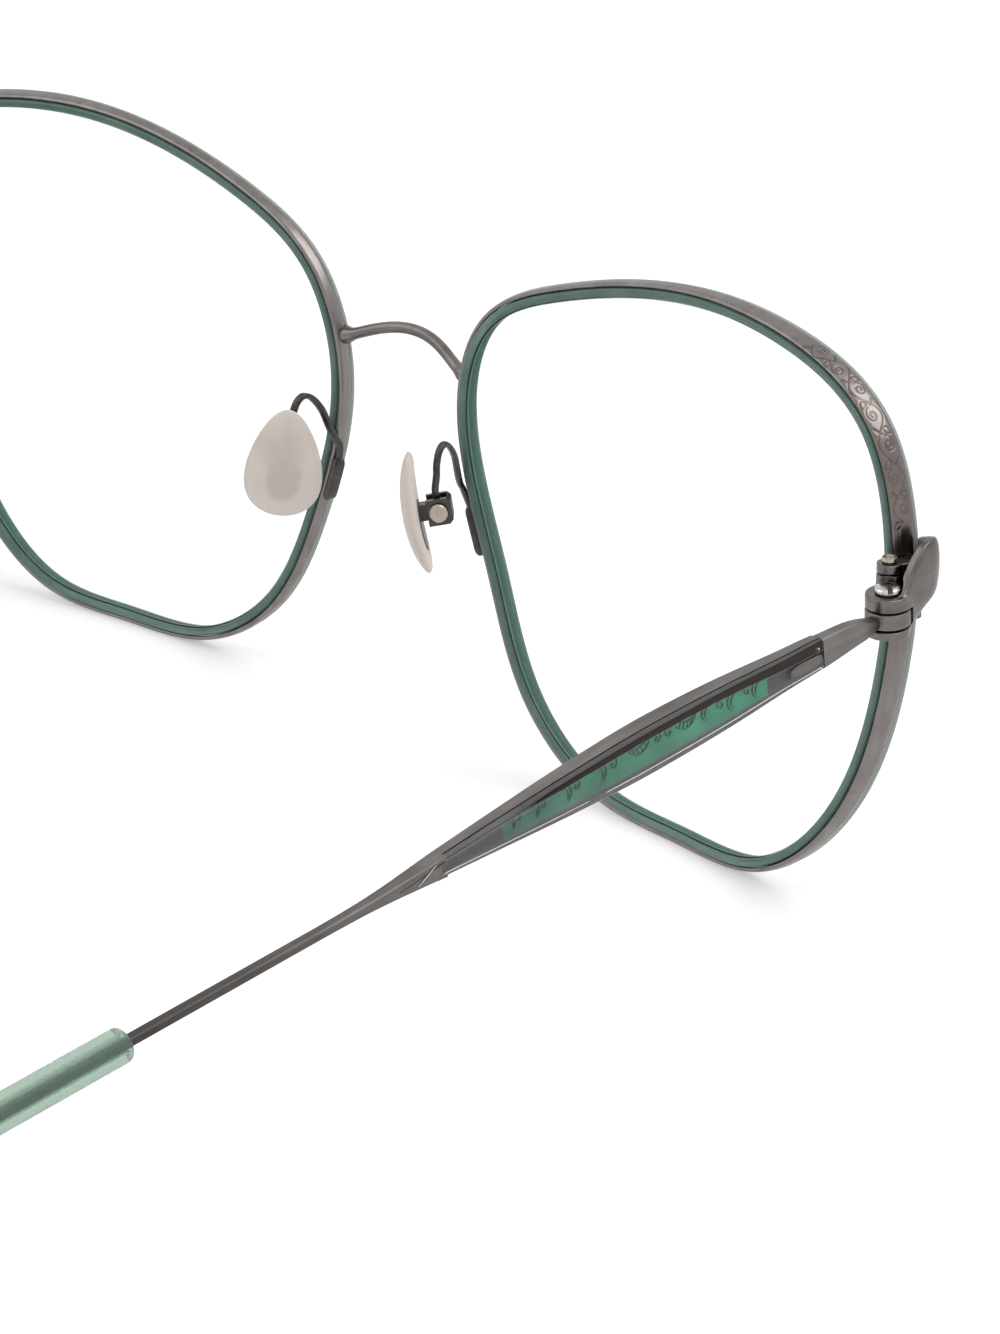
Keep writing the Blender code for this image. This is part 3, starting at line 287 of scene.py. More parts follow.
def rim_reach(points):
    """The inner rim's reach in front of and behind the lens surface, and its flange's depth."""
    angle = np.arctan2(points[:, 1], points[:, 0])
    front = RIM_FRONT_MEAN + RIM_FRONT_SWING * np.cos(2.0 * (angle - RIM_FRONT_TURN))
    back = RIM_BACK_MEAN + RIM_BACK_SWING * np.cos(2.0 * angle)
    outward = np.cos(angle)
    flange = FLANGE_DEPTH_MEAN - FLANGE_DEPTH_SWING * np.sin(angle)
    return front + RIM_FRONT_OUTWARD * outward, back + RIM_BACK_OUTWARD * outward, flange


def on_lens(points, normals, offset, depth):
    """Positions beside outline points: rows of offsets outward and depths behind the lens."""
    offset = np.atleast_2d(np.asarray(offset, float))
    depth = np.atleast_2d(np.asarray(depth, float))
    u = points[:, 0:1] + normals[:, 0:1] * offset
    v = points[:, 1:2] + normals[:, 1:2] * offset
    bow = (u * u + v * v) / (2.0 * LENS_RADIUS)
    flat = u[..., None] * ALONG + v[..., None] * UP
    lean = unit(BEHIND - flat / LENS_RADIUS)
    return (np.array((LENS_CENTRE, 0.0, 0.0)) + flat + bow[..., None] * BEHIND
            + depth[..., None] * lean)


def soft_corners(corners, radius, steps=4):
    """Closed 2-D outline with each corner rounded."""
    corners = np.asarray(corners, float)
    out = []
    for i, here in enumerate(corners):
        before = corners[i - 1] - here
        after = corners[(i + 1) % len(corners)] - here
        r = min(radius, 0.45 * np.linalg.norm(before), 0.45 * np.linalg.norm(after))
        start = here + unit(before) * r
        end = here + unit(after) * r
        for t in np.linspace(0.0, 1.0, steps):
            out.append((1 - t) ** 2 * start + 2 * t * (1 - t) * here + t * t * end)
    return np.array(out)


def circle(count):
    """Points of a unit circle, as rows of cosine and sine."""
    angles = np.arange(count) * 2.0 * pi / count
    return np.stack((np.cos(angles), np.sin(angles)), 1)


def skin(rings, loop=False):
    """Vertices and faces of a body through rings; a ring of one point closes an end."""
    rings = [np.asarray(ring, float).reshape(-1, 3) for ring in rings]
    sizes = [len(ring) for ring in rings]
    starts = [0, *np.cumsum(sizes).tolist()]
    faces = []
    for i in range(len(rings) if loop else len(rings) - 1):
        j = (i + 1) % len(rings)
        a, b = starts[i], starts[j]
        size = max(sizes[i], sizes[j])
        for k in range(size):
            m = (k + 1) % size
            if sizes[i] == 1:
                faces.append((a, b + m, b + k))
            elif sizes[j] == 1:
                faces.append((a + k, a + m, b))
            else:
                faces.append((a + k, a + m, b + m, b + k))
    if not loop and sizes[0] > 1:
        faces.append(tuple(reversed(range(sizes[0]))))
    if not loop and sizes[-1] > 1:
        faces.append(tuple(range(starts[-2], starts[-1])))
    return np.vstack(rings), faces


def together(*bodies):
    """One body from several closed ones."""
    vertices, faces = [], []
    total = 0
    for points, polygons in bodies:
        vertices.append(points)
        faces += [tuple(k + total for k in face) for face in polygons]
        total += len(points)
    return np.vstack(vertices), faces


def turned(profile, base, axis, segments=48, loop=False):
    """Body turned about axis through base, from rows of radius and height."""
    axis = unit(axis)
    first = unit(np.cross(axis, (0.0, 1.0, 0.2)))
    around = circle(segments) @ np.stack((first, np.cross(axis, first)))
    rings = []
    for radius, height in profile:
        middle = base + axis * height
        rings.append(middle + radius * around if radius > 0.0 else middle)
    return skin(rings, loop)


def pipe(path, wide, shape, scale=1.0):
    """Body along a path whose section has its first axis along the direction wide."""
    sizes = np.broadcast_to(scale, len(path))
    rings = []
    for middle, run, size in zip(path, unit(np.gradient(path, axis=0)), sizes):
        across = unit(wide - run * np.dot(wide, run))
        rings.append(middle + size * shape @ np.stack((across, np.cross(across, run))))
    return skin(rings)


def mesh_of(name, body, side):
    """Mesh of a body of the front's left side, mirrored where asked and put in the frame."""
    vertices, faces = body
    mesh = bpy.data.meshes.new(name)
    places = (vertices * np.array((side, 1.0, 1.0)) @ TURN.T + SHIFT) * MM
    mesh.from_pydata([tuple(place) for place in places], [], faces)
    work = bmesh.new()
    work.from_mesh(mesh)
    bmesh.ops.recalc_face_normals(work, faces=work.faces)
    work.to_mesh(mesh)
    work.free()
    return mesh


def placed(name, data):
    thing = bpy.data.objects.new(name, data)
    bpy.context.scene.collection.objects.link(thing)
    return thing


def finish_piece(name, mesh, look, rides, replaces=(), smooth=35.0):
    """Visible piece from a mesh; edges sharper than smooth degrees stay crisp."""
    mesh.shade_smooth()
    mesh.set_sharp_from_angle(angle=radians(smooth))
    thing = placed(name, mesh)
    mesh.materials.clear()
    mesh.materials.append(look)
    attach(thing, rides)
    if replaces:
        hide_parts(*replaces)
    return thing


def body_name(side, rides):
    return rides if rides == "front" else SIDES[side] + rides


def piece(side, label, body, look, rides, node="", smooth=35.0):
    """Piece of one side of the face; its names get that side's name in front."""
    name = SIDES[side] + label
    nodes = [SIDES[side] + node] if node else []
    return finish_piece(name, mesh_of(name, body, side), look, body_name(side, rides),
                        nodes, smooth)


def front_pair(mesh, label, look, node, smooth, sides):
    """Two pieces on the front from the left one's mesh: that one and its mirror image."""
    for side in sides:
        made = mesh
        if side < 0:
            made = mesh.copy()
            made.name = SIDES[side] + label
            made.transform(Matrix.Diagonal((-1.0, 1.0, 1.0, 1.0)))
            made.flip_normals()
        finish_piece(SIDES[side] + label, made, look, "front", [SIDES[side] + node], smooth)


def tint(thing, name, values):
    """Store one number for each vertex, for the material to read."""
    attribute = thing.data.attributes.new(name, "FLOAT", "POINT")
    attribute.data.foreach_set("value", np.asarray(values, np.float32).ravel())


def temporary(name, body):
    return placed(name, mesh_of(name, body, 1))


def applied(thing):
    """Mesh of the object with its modifiers, in place of its own."""
    bpy.context.view_layer.update()
    graph = bpy.context.evaluated_depsgraph_get()
    result = bpy.data.meshes.new_from_object(thing.evaluated_get(graph))
    thing.modifiers.clear()
    old = thing.data
    thing.data = result
    bpy.data.meshes.remove(old)


def combine(thing, tools, operation):
    for tool in tools:
        step = thing.modifiers.new("step", "BOOLEAN")
        step.operation = operation
        step.solver = "EXACT"
        step.object = tool
        applied(thing)
        used = tool.data
        bpy.data.objects.remove(tool)
        bpy.data.meshes.remove(used)


def take_mesh(thing):
    mesh = thing.data
    bpy.data.objects.remove(thing)
    return mesh


def melt(thing, grain, rounds, keep):
    """Mesh of a body with its edges rounded, by a fine grid that is smoothed and thinned."""
    step = thing.modifiers.new("grid", "REMESH")
    step.mode = "VOXEL"
    step.voxel_size = grain * MM
    soften = thing.modifiers.new("soften", "SMOOTH")
    soften.factor = 0.5
    soften.iterations = rounds
    fewer = thing.modifiers.new("fewer", "DECIMATE")
    fewer.ratio = keep
    applied(thing)
    return take_mesh(thing)


# Materials

METAL_CLOUD = 260.0
PLASTIC_CLOUD = 320.0
GRAIN_SHARE = 0.55
BUMPS = 0.12
BUMP_HEIGHT = 0.00002


def shader_of(name):
    made = bpy.data.materials.new(name)
    made.use_nodes = True
    return made, made.node_tree, made.node_tree.nodes["Principled BSDF"]


def feed(tree, node, inputs):
    """Give inputs of a node a link, where the value is another node's output, or a plain value."""
    for key, value in inputs.items():
        if isinstance(value, bpy.types.NodeSocket):
            tree.links.new(value, node.inputs[key])
        else:
            node.inputs[key].default_value = value


def add(tree, kind, inputs):
    node = tree.nodes.new("ShaderNode" + kind)
    feed(tree, node, inputs)
    return node


def maths(tree, operation, *values):
    node = tree.nodes.new("ShaderNodeMath")
    node.operation = operation
    feed(tree, node, dict(enumerate(values)))
    return node.outputs[0]


def noise(tree, scale, detail=3.0, stretch=(1.0, 1.0, 1.0), roughness=0.5):
    place = add(tree, "TexCoord", {}).outputs["Object"]
    place = add(tree, "Mapping", {"Vector": place, "Scale": stretch}).outputs["Vector"]
    settings = {"Vector": place, "Scale": scale, "Detail": detail, "Roughness": roughness}
    return add(tree, "TexNoise", settings).outputs["Fac"]


def ramp(tree, value, dark, light):
    """Colour from dark to light over the middle of the value's range."""
    node = add(tree, "ValToRGB", {"Fac": value})
    for element, position, colour in zip(node.color_ramp.elements, (0.3, 0.7), (dark, light)):
        element.position = position
        element.color = (*colour, 1.0)
    return node.outputs["Color"]


def spread(tree, value, low, high, full=1.0, start=0.0):
    """The range from start to full of a value, turned into the range from low to high."""
    settings = {"Value": value, "From Min": start, "From Max": full, "To Min": low, "To Max": high}
    return add(tree, "MapRange", settings).outputs["Result"]


def number(tree, name):
    node = add(tree, "Attribute", {})
    node.attribute_name = name
    return node.outputs["Fac"]


def blend(tree, share, first, second):
    """Blend from the colour of an output to a plain colour."""
    node = tree.nodes.new("ShaderNodeMix")
    node.data_type = "RGBA"
    feed(tree, node, {"Factor": share, 6: first, 7: (*second, 1.0)})
    return node.outputs[2]


def metal(name, dark, light, rough, stretch, scale=900.0, groove_and_shade=None):
    """Brushed metal; where a colour for grooves and painted shade is given, the attribute "cut" shows
    it.
    """
    made, tree, shader = shader_of(name)
    cloud = noise(tree, METAL_CLOUD)
    grain = noise(tree, scale, 4.0, stretch, 0.6)
    mixed = maths(tree, "MULTIPLY", cloud, 1.0 - GRAIN_SHARE)
    mixed = maths(tree, "MULTIPLY_ADD", grain, GRAIN_SHARE, mixed)
    colour = ramp(tree, mixed, dark, light)
    if groove_and_shade:
        colour = blend(tree, number(tree, "cut"), colour, groove_and_shade)
    bumps = add(tree, "Bump", {"Height": grain, "Strength": BUMPS, "Distance": BUMP_HEIGHT})
    feed(tree, shader, {"Metallic": 1.0, "Base Color": colour, "Normal": bumps.outputs["Normal"],
                        "Roughness": spread(tree, grain, *rough)})
    return made


def plastic(name, dark, light, roughness, transmission, ior=1.49, second=None, full=1.0):
    """Clouded plastic; second is a colour and transmission that the attribute "tone" shows.

    The second colour is fully there where the tone reaches the number full.
    """
    made, tree, shader = shader_of(name)
    cloud = noise(tree, PLASTIC_CLOUD)
    colour = ramp(tree, cloud, dark, light)
    if second:
        tone = number(tree, "tone")
        colour = blend(tree, spread(tree, tone, 0.0, 1.0, full), colour, second[0])
        if second[1] != transmission:
            transmission = spread(tree, tone, transmission, second[1])
    feed(tree, shader, {"IOR": ior, "Base Color": colour, "Transmission Weight": transmission,
                        "Roughness": spread(tree, cloud, roughness * 0.8, roughness * 1.2)})
    return made


GUNMETAL = metal("gunmetal_satin", (0.10, 0.090, 0.085), (0.20, 0.184, 0.175), (0.20, 0.40),
                 (1.0, 0.12, 1.0))
DARK_WIRE = metal("gunmetal_dark_wire", (0.045, 0.041, 0.039), (0.10, 0.092, 0.087),
                  (0.22, 0.42), (1.0, 0.2, 1.0))
# Its groove colour is the engraving's dark fill and, near the band's split, painted shade
ENGRAVED = metal("gunmetal_engraved", (0.15, 0.136, 0.128), (0.25, 0.230, 0.218), (0.22, 0.38),
                 (1.0, 1.0, 0.15), groove_and_shade=(0.118, 0.090, 0.082))
# On the bar the near-black groove colour is painted shade and darkening; the bar has no grooves
BRUSHED = metal("gunmetal_brushed_bar", (0.12, 0.110, 0.104), (0.235, 0.220, 0.210),
                (0.42, 0.60), (1.0, 0.05, 1.0), 1500.0, groove_and_shade=(0.012, 0.010, 0.009))
STEEL = metal("polished_steel", (0.50, 0.47, 0.42), (0.72, 0.69, 0.63), (0.16, 0.30),
              (1.0, 1.0, 1.0))
PAD_STEEL = metal("pad_screw_steel", (0.34, 0.29, 0.24), (0.52, 0.46, 0.39), (0.20, 0.36),
                  (1.0, 1.0, 1.0))
SMOKE = plastic("smoke_green_acetate", (0.120, 0.212, 0.180), (0.175, 0.278, 0.240), 0.12, 0.30,
                1.3, second=((0.66, 0.73, 0.70), 0.55))
INLAY = plastic("smoke_inlay_acetate", (0.86, 0.86, 0.88), (0.92, 0.92, 0.93), 0.03, 1.0, 1.12,
                second=((0.048, 0.038, 0.035), 0.05), full=0.45)
GREEN = plastic("green_acetate", (0.075, 0.37, 0.215), (0.105, 0.48, 0.285), 0.30, 0.0, 1.15,
                second=((0.125, 0.122, 0.127), 0.0))
# Near-black marks that paint shade on the temple: in a small hole, on a groove's side and under the
# bar's lip
PAINTED_SHADE_MARK = plastic("painted_shade_mark", (0.015, 0.020, 0.018), (0.025, 0.030, 0.027), 0.4, 0.0)
SCROLL = plastic("scroll_ink", (0.022, 0.060, 0.042), (0.035, 0.085, 0.060), 0.4, 0.0)
SLEEVE = plastic("pale_green_acetate", (0.42, 0.55, 0.465), (0.44, 0.57, 0.48), 0.26, 0.84, 1.2)
SILICONE = plastic("pad_silicone", (0.82, 0.745, 0.685), (0.88, 0.80, 0.74), 0.45, 0.35, 1.41)
INSERT = plastic("pad_insert_satin", (0.66, 0.60, 0.53), (0.72, 0.66, 0.59), 0.4, 0.0,
                 second=((0.07, 0.058, 0.052), 0.0))
# The lens's second colour is the rim's green, painted on its bevel as a reflection of the rim
CLEAR = plastic("clear_lens", (0.97, 0.985, 0.98), (0.98, 0.99, 0.985), 0.0, 1.0, 1.03,
                second=((0.12, 0.21, 0.18), 0.0))


# Rims and lenses

def vine_points():
    """Points along a scrolling vine with curls and leaves: along the band and across it."""
    points = []
    half = VINE_PERIOD / 2.0
    for k in range(int((ENGRAVED_END - ENGRAVED_START) / half)):
        base = ENGRAVED_START + k * half
        way = 1.0 if k % 2 == 0 else -1.0
        t = np.linspace(0.0, 1.0, 140)
        points.append(np.stack((base + t * half, way * 0.72 * np.sin(pi * t)), 1))
        turn = np.linspace(0.0, 2.9 * pi, 150)
        radius = 0.60 * np.exp(-0.16 * turn)
        points.append(np.stack((base + 0.5 * half + 1.25 * radius * np.cos(turn),
                                -0.16 * way - way * radius * np.sin(turn)), 1))
        for start, reach, lift in ((0.02, -0.5, 0.62), (0.86, 0.5, 0.55)):
            s = np.linspace(0.0, 1.0, 45)
            bow = 0.16 * np.sin(pi * s)
            for swing in (1.0, -0.7):
                points.append(np.stack((base + start * half + reach * s + 1.6 * swing * bow,
                                        way * (0.12 + lift * s + swing * bow)), 1))
    return np.vstack(points)


def engraved(rows, across):
    """Share of the full engraving depth on a grid of places along and across the band."""
    points = vine_points()
    tree = KDTree(len(points))
    for i, (s, t) in enumerate(points):
        tree.insert((s, t, 0.0), i)
    tree.balance()
    cut = np.zeros(across.shape)
    for i, s in enumerate(rows):
        if ENGRAVED_START - 0.6 < s < ENGRAVED_END + 0.6:
            for j, t in enumerate(across[i]):
                away = tree.find((s, t, 0.0))[2]
                share = max(0.0, 1.0 - away / ENGRAVED_LINE)
                cut[i, j] = share * share * (3.0 - 2.0 * share)
    return cut


def eyewire(side):
    half = SPLIT_GAP / 2.0
    fine = np.arange(ENGRAVED_START - 0.5, ENGRAVED_END + 0.5, 0.055)
    rows = np.concatenate(((half,), fine, np.linspace(ENGRAVED_END + 0.9, AROUND - half, 330)))
    points, normals = outline(rows)
    front, back, flange = rim_reach(points)
    low = (flange + BAND_CLEARANCE - front)[:, None]
    high = (back - BAND_BACK_STEP)[:, None]
    middle = (low + high) / 2.0
    share = np.linspace(1.0, -1.0, 35)
    depth = middle + (high - low) / 2.0 * share
    cut = engraved(rows, depth - middle)
    offset = BAND_OUTER + BAND_CROWN - 0.02 - (BAND_CROWN + BAND_EDGE_RISE) * np.abs(share) ** 4
    inner = np.full((len(rows), 1), BAND_INNER)
    offset = np.hstack((offset - ENGRAVED_DEPTH * cut, inner + 0.06, inner, inner, inner + 0.06))
    depth = np.hstack((depth, low, low + 0.05, high - 0.05, high))
    body = skin(list(on_lens(points, normals, offset, depth)))
    thing = piece(side, "engraved_eyewire", body, ENGRAVED, "front", "eyewire", 50.0)
    # Painted shade on the band near its split, fading out along it, laid over the engraved lines
    split_shade = np.interp(rows, (SPLIT_PAINTED_SHADE_START, SPLIT_PAINTED_SHADE_END), (SPLIT_PAINTED_SHADE, 0.0))[:, None]
    split_shade = np.maximum(cut, split_shade + 0.3 * cut)
    tint(thing, "cut", np.hstack((split_shade, np.zeros((len(rows), 4)))))


def inner_rim(side):
    points, normals = outline(np.arange(420) * AROUND / 420)
    flange = RING_OUTER + FLANGE_RISE
    offsets, depths, tones = [], [], []
    for f, b, step in zip(*rim_reach(points)):
        seat = step - f
        corners = (
            (-RING_LIP, -GROOVE_HALF), (GROOVE_CLEARANCE, 0.0), (-RING_LIP, GROOVE_HALF),
            (-RING_LIP, b), (RING_OUTER, b), (RING_OUTER, seat), (flange, seat), (flange, -f),
            (-RING_LIP, -f))
        offset, depth = soft_corners(corners, 0.17, 5).T
        offsets.append(offset)
        depths.append(depth)
        outer = np.clip((offset - RING_OUTER + 0.2) / 0.2, 0.0, 1.0)
        tones.append(outer * np.clip((seat + 0.12 - depth) / 0.1, 0.0, 1.0))
    body = skin(list(on_lens(points, normals, offsets, depths)), loop=True)
    thing = piece(side, "smoke_rim", body, SMOKE, "front", "inner_rim", 50.0)
    tint(thing, "tone", np.concatenate(tones))


def lens(side):
    half = LENS_THICKNESS / 2.0
    inset = -LENS_BEVEL_HEIGHT
    points, normals = outline(np.arange(300) * AROUND / 300)
    zero = np.zeros_like(normals)
    # Rows of share of the outline, offset from it, depth and tone, from the middle to the bevel; a
    # tone of 1 paints the bevel in the rim's green, a painted reflection of the rim
    back = [(share, inset, half, 0.0) for share in (0.15, 0.3, 0.45, 0.6, 0.75, 0.88)]
    back += [(1.0, inset - 0.45, half, 0.0), (1.0, inset - 0.12, half, 0.0),
             (1.0, inset, half - 0.03, 1.0), (1.0, inset, LENS_BEVEL_HALF, 1.0)]
    front = [(share, offset, -depth, tone) for share, offset, depth, tone in back]
    rings, tones = [], []
    for share, offset, depth, tone in (*front, (1.0, 0.0, 0.0, 1.0), *back[::-1]):
        rings.append(on_lens((points + normals * offset) * share, zero, 0.0, depth)[:, 0])
        tones.append(np.full(len(points), tone))
    first, last = (on_lens(zero[:1], zero[:1], 0.0, depth)[0] for depth in (-half, half))
    thing = piece(side, "bevelled_lens", skin((first, *rings, last)), CLEAR, "front",
                  "lens")
    tint(thing, "tone", np.concatenate(((0.0,), *tones, (0.0,))))


# Lock and hinge

def lock_prism(front, bottom, top, wider=0.0):
    inner = RIM_SIDE[0] + 0.06
    outer = RIM_SIDE[0] + LUG_CLEARANCE + LUG_THICKNESS
    start = asin(min(1.0, (outer - LOCK[0]) / LOCK_RADIUS))
    end = acos((inner - LOCK[0]) / LOCK_RADIUS)
    plan = [(LOCK[0] + LOCK_RADIUS * cos(angle), LOCK[1] + LOCK_RADIUS * sin(angle))
            for angle in np.linspace(start - pi / 2.0, 2.0 * pi - end, 48)]
    plan += [(inner, front), (outer + wider, front), (outer + wider, front + 1.6)]
    return skin([np.array([(x, y, z) for x, y in plan]) for z in (bottom, top)])


def strap():
    """Smooth bent plate from the front of the rim back to the hinge."""
    rows = smooth_path(PLATE_ROWS, 7)
    outer = rows[:, :2] + RIM_SIDE[:2]
    shares = np.linspace(-1.0, 1.0, 15)
    bulges = PLATE_BULGE * (1.0 - shares ** 2) - 0.16 * shares ** 8
    rings = []
    for place, (x, y), (low, high) in zip(outer, unit(np.gradient(outer, axis=0)), rows[:, 2:]):
        inward = np.array((-y, x))
        middle = (low + high) / 2.0
        reach = (high - low) / 2.0
        ring = [(*(place - inward * bulge), middle + reach * share)
                for bulge, share in zip(bulges, shares)]
        back = place + inward * PLATE_THICKNESS
        ring += [(*back, middle + reach * share) for share in (1.0, 0.5, 0.0, -0.5, -1.0)]
        rings.append(np.array(ring))
    return skin(rings)


def rod(base, axis, radius, low, high):
    return temporary("rod", turned(((radius, low), (radius, high)), base, axis))


def lock_and_hinge():
    part = temporary("end", strap())
    front = RIM_SIDE[1] + PLATE_ROWS[1, 1] + PLATE_THICKNESS - 0.15
    column = lock_prism(front, HINGE[2] + HINGE_BOTTOM, LOCK_LOWER_TOP)
    combine(part, (rod(HINGE, HINGE_AXIS, KNUCKLE_RADIUS, HINGE_BOTTOM, HINGE_TOP),
                   temporary("column", column)), "UNION")
    combine(part, (
        rod(HINGE, HINGE_AXIS, KNUCKLE_RADIUS + KNUCKLE_RELIEF, -UPPER_SEAT, UPPER_SEAT),
        rod(HINGE, HINGE_AXIS, HINGE_BORE, HINGE_BOTTOM - 1.0, HINGE_TOP + 2.0),
        rod(HINGE, HINGE_AXIS, HEAD_RELIEF, HINGE_TOP + 0.04, HINGE_TOP + 4.0),
        rod(LOCK, UP, LOCK_BORE, 6.9, LOCK_LOWER_TOP + 1.0)), "DIFFERENCE")
    block = lock_prism(RIM_SIDE[1] - 0.5, LOCK_UPPER_BOTTOM, LOCK_TOP, LOCK_TOP_WIDER)
    upper = temporary("block", block)
    combine(upper, (rod(LOCK, UP, LOCK_BORE, LOCK_UPPER_BOTTOM - 1.35, LOCK_TOP + 1.9),),
            "DIFFERENCE")
    for thing, grain, rounds, keep, label, node in (
            (part, 0.075, 7, 0.45, "end_strap", "end_piece"),
            (upper, 0.055, 4, 0.6, "lock_top", "closing_block")):
        mesh = melt(thing, grain, rounds, keep)
        front_pair(mesh, label, GUNMETAL, node, 60.0, (1, -1))


def screw_shank(radius, length, head):
    """Profile of a screw up to the foot of its head, whose seat is at height zero."""
    return [(0.0, -length), (radius, -length), (radius, 0.0), (head - 0.04, 0.0), (head, 0.04)]


def lock_screws():
    """Rim lock screws with cupped heads."""
    head, tall = 0.65, 0.40
    rows = screw_shank(0.35, 2.85, head)
    rows += [(head, tall - 0.1), (head - 0.03, tall - 0.03), (head - 0.1, tall),
             (head - 0.2, tall - 0.04), (head - 0.27, 0.12), (head - 0.4, 0.06), (0.0, 0.05)]
    part = temporary("screw", turned(rows, LOCK + UP * (LOCK_TOP + SCREW_LIFT), UP, 64))
    front_pair(take_mesh(part), "lock_screw", PAD_STEEL, "rim_lock_screw", 40.0,
               SIDES)


def hinge_screws():
    """Hinge screws with domed and slotted heads."""
    head, tall = 1.10, 0.55
    rows = screw_shank(0.60, 3.58, head)
    for turn in np.linspace(0.0, pi / 2.0, 9)[:-1]:
        rows.append((head * cos(turn) ** 0.7, tall * (0.45 + 0.55 * sin(turn))))
    rows.append((0.0, tall))
    base = HINGE + HINGE_AXIS * (HINGE_TOP + SCREW_LIFT)
    part = temporary("screw", turned(rows, base, HINGE_AXIS, 64))
    across = unit((0.8, 0.6, 0.0))
    corners = np.array(((-2.0, -0.22), (2.0, -0.22), (2.0, 0.22), (-2.0, 0.22)))
    corners = base + corners @ np.stack((across, np.cross(HINGE_AXIS, across)))
    slot = skin([corners + HINGE_AXIS * height for height in (tall - 0.36 * head, tall + 1.0)])
    combine(part, (temporary("slot", slot),), "DIFFERENCE")
    front_pair(take_mesh(part), "barrel_screw", STEEL, "hinge_screw", 40.0, SIDES)


def rounded_copy(side, node, label, width, look, rides):
    """Copy of a solid with its sharp edges rounded, standing for it."""
    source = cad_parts[SIDES[side] + node]
    mesh = source.data.copy()
    mesh.transform(source.matrix_world)
    thing = placed("copy", mesh)
    step = thing.modifiers.new("edges", "BEVEL")
    step.width = width * MM
    step.segments = 3
    step.limit_method = "ANGLE"
    step.angle_limit = radians(35.0)
    applied(thing)
    return finish_piece(SIDES[side] + label, take_mesh(thing), look, body_name(side, rides),
                        [SIDES[side] + node], 40.0)


# Temples, measured from the hinge point

TEMPLE_SLOPES = np.gradient(TEMPLE_ROWS[:, 1:], TEMPLE_ROWS[:, 0], axis=0)
TEMPLE_SLOPES[[0, 6, -2, -1]] = 0.0
FORWARD = unit((-sin(TEMPLE_YAW) * cos(TEMPLE_PITCH),
                cos(TEMPLE_YAW) * cos(TEMPLE_PITCH), -sin(TEMPLE_PITCH)))
OUTWARD = unit(np.cross(FORWARD, UP))
ABOVE = np.cross(OUTWARD, FORWARD)
BEND_START = TEMPLE_TO_BEND - BEND_RADIUS * tan(BEND_ANGLE / 2.0)
BEND_END = BEND_START + BEND_RADIUS * BEND_ANGLE
TEMPLE_END = TEMPLE_TO_BEND + TIP_LENGTH


def temple_size(distance):
    """Height, thickness and rise of the temple at a distance from the hinge axis."""
    rows = TEMPLE_ROWS[:, 0]
    i = int(np.clip(np.searchsorted(rows, distance) - 1, 0, len(rows) - 2))
    step = rows[i + 1] - rows[i]
    t = (distance - rows[i]) / step
    start = (1.0 + 2.0 * t) * (1.0 - t) ** 2 * TEMPLE_ROWS[i, 1:]
    leave = t * (1.0 - t) ** 2 * step * TEMPLE_SLOPES[i]
    end = t * t * (3.0 - 2.0 * t) * TEMPLE_ROWS[i + 1, 1:]
    arrive = t * t * (t - 1.0) * step * TEMPLE_SLOPES[i + 1]
    return start + leave + end + arrive


def temple_half(distance):
    """Half thickness, half height and edge radius of the temple."""
    height, thickness, _ = temple_size(distance)
    a = thickness / 2.0
    b = height / 2.0
    return a, b, min(0.35, 0.8 * a, 0.8 * b)


def temple_ring(distance, shape):
    """Ring in the front's frame from outward and upward distances from the temple's middle."""
    turn = min(max(distance - BEND_START, 0.0) / BEND_RADIUS, BEND_ANGLE)
    ahead = FORWARD * cos(turn) - ABOVE * sin(turn)
    above = ABOVE * cos(turn) + FORWARD * sin(turn)
    middle = HINGE + FORWARD * min(distance, BEND_START) + ahead * max(distance - BEND_END, 0.0)
    middle = middle + BEND_RADIUS * (FORWARD * sin(turn) - ABOVE * (1.0 - cos(turn)))
    middle = middle + OUTWARD * TEMPLE_OUTWARD * np.interp(distance, (0.9, 3.6), (0.0, 1.0))
    shape = np.asarray(shape, float)
    rise = temple_size(distance)[2]
    return middle + np.outer(shape[:, 0], OUTWARD) + np.outer(shape[:, 1] + rise, above)


def temple_point(distance, u, v):
    return temple_ring(distance, ((u, v),))[0]


def knuckle():
    half = ((KNUCKLE_RADIUS, KNUCKLE_HALF - 0.1), (KNUCKLE_RADIUS - 0.03, KNUCKLE_HALF - 0.03),
            (KNUCKLE_RADIUS - 0.1, KNUCKLE_HALF), (HINGE_BORE, KNUCKLE_HALF))
    rows = [(radius, -height) for radius, height in half[::-1]]
    return turned((*rows, *half), HINGE, HINGE_AXIS, 64, loop=True)


def pocket_floor(distance):
    return temple_half(distance)[1] - SPINE_LOOK


def rear_wall():
    """Metal behind the rounded rear end of the inlay, as one plate through the temple."""
    b = temple_half(NOSE_START)[1]
    top = pocket_floor(NOSE_START)
    middle = (top - b) / 2.0
    radius = (top + b) / 2.0
    back = NOSE_CLOSE + 0.15
    edge = [(back, pocket_floor(NOSE_CLOSE)), (back, -temple_half(NOSE_CLOSE)[1])]
    for turn in np.linspace(-pi / 2.0, pi / 2.0, 17):
        edge.append((NOSE_START + 0.9 * radius * cos(turn), middle + radius * sin(turn)))
    return skin([[temple_point(distance, way * (temple_half(distance)[0] - 0.03), height)
                  for distance, height in edge] for way in (-1.0, 1.0)])


def front_tongue():
    """Rounded end of the metal seen through the front of the inlay."""
    rings = [temple_point(8.7, 0.42, -0.25)]
    for turn in np.linspace(0.3, pi - 0.12, 15):
        swell = sin(turn) ** 0.6
        shape = np.array((0.45, -0.35)) + swell * circle(20) * (0.16, 0.55)
        rings.append(temple_ring(TONGUE_MIDDLE - TONGUE_HALF * cos(turn), shape))
    rings.append(temple_point(12.7, 0.45, -0.38))
    return skin(rings)


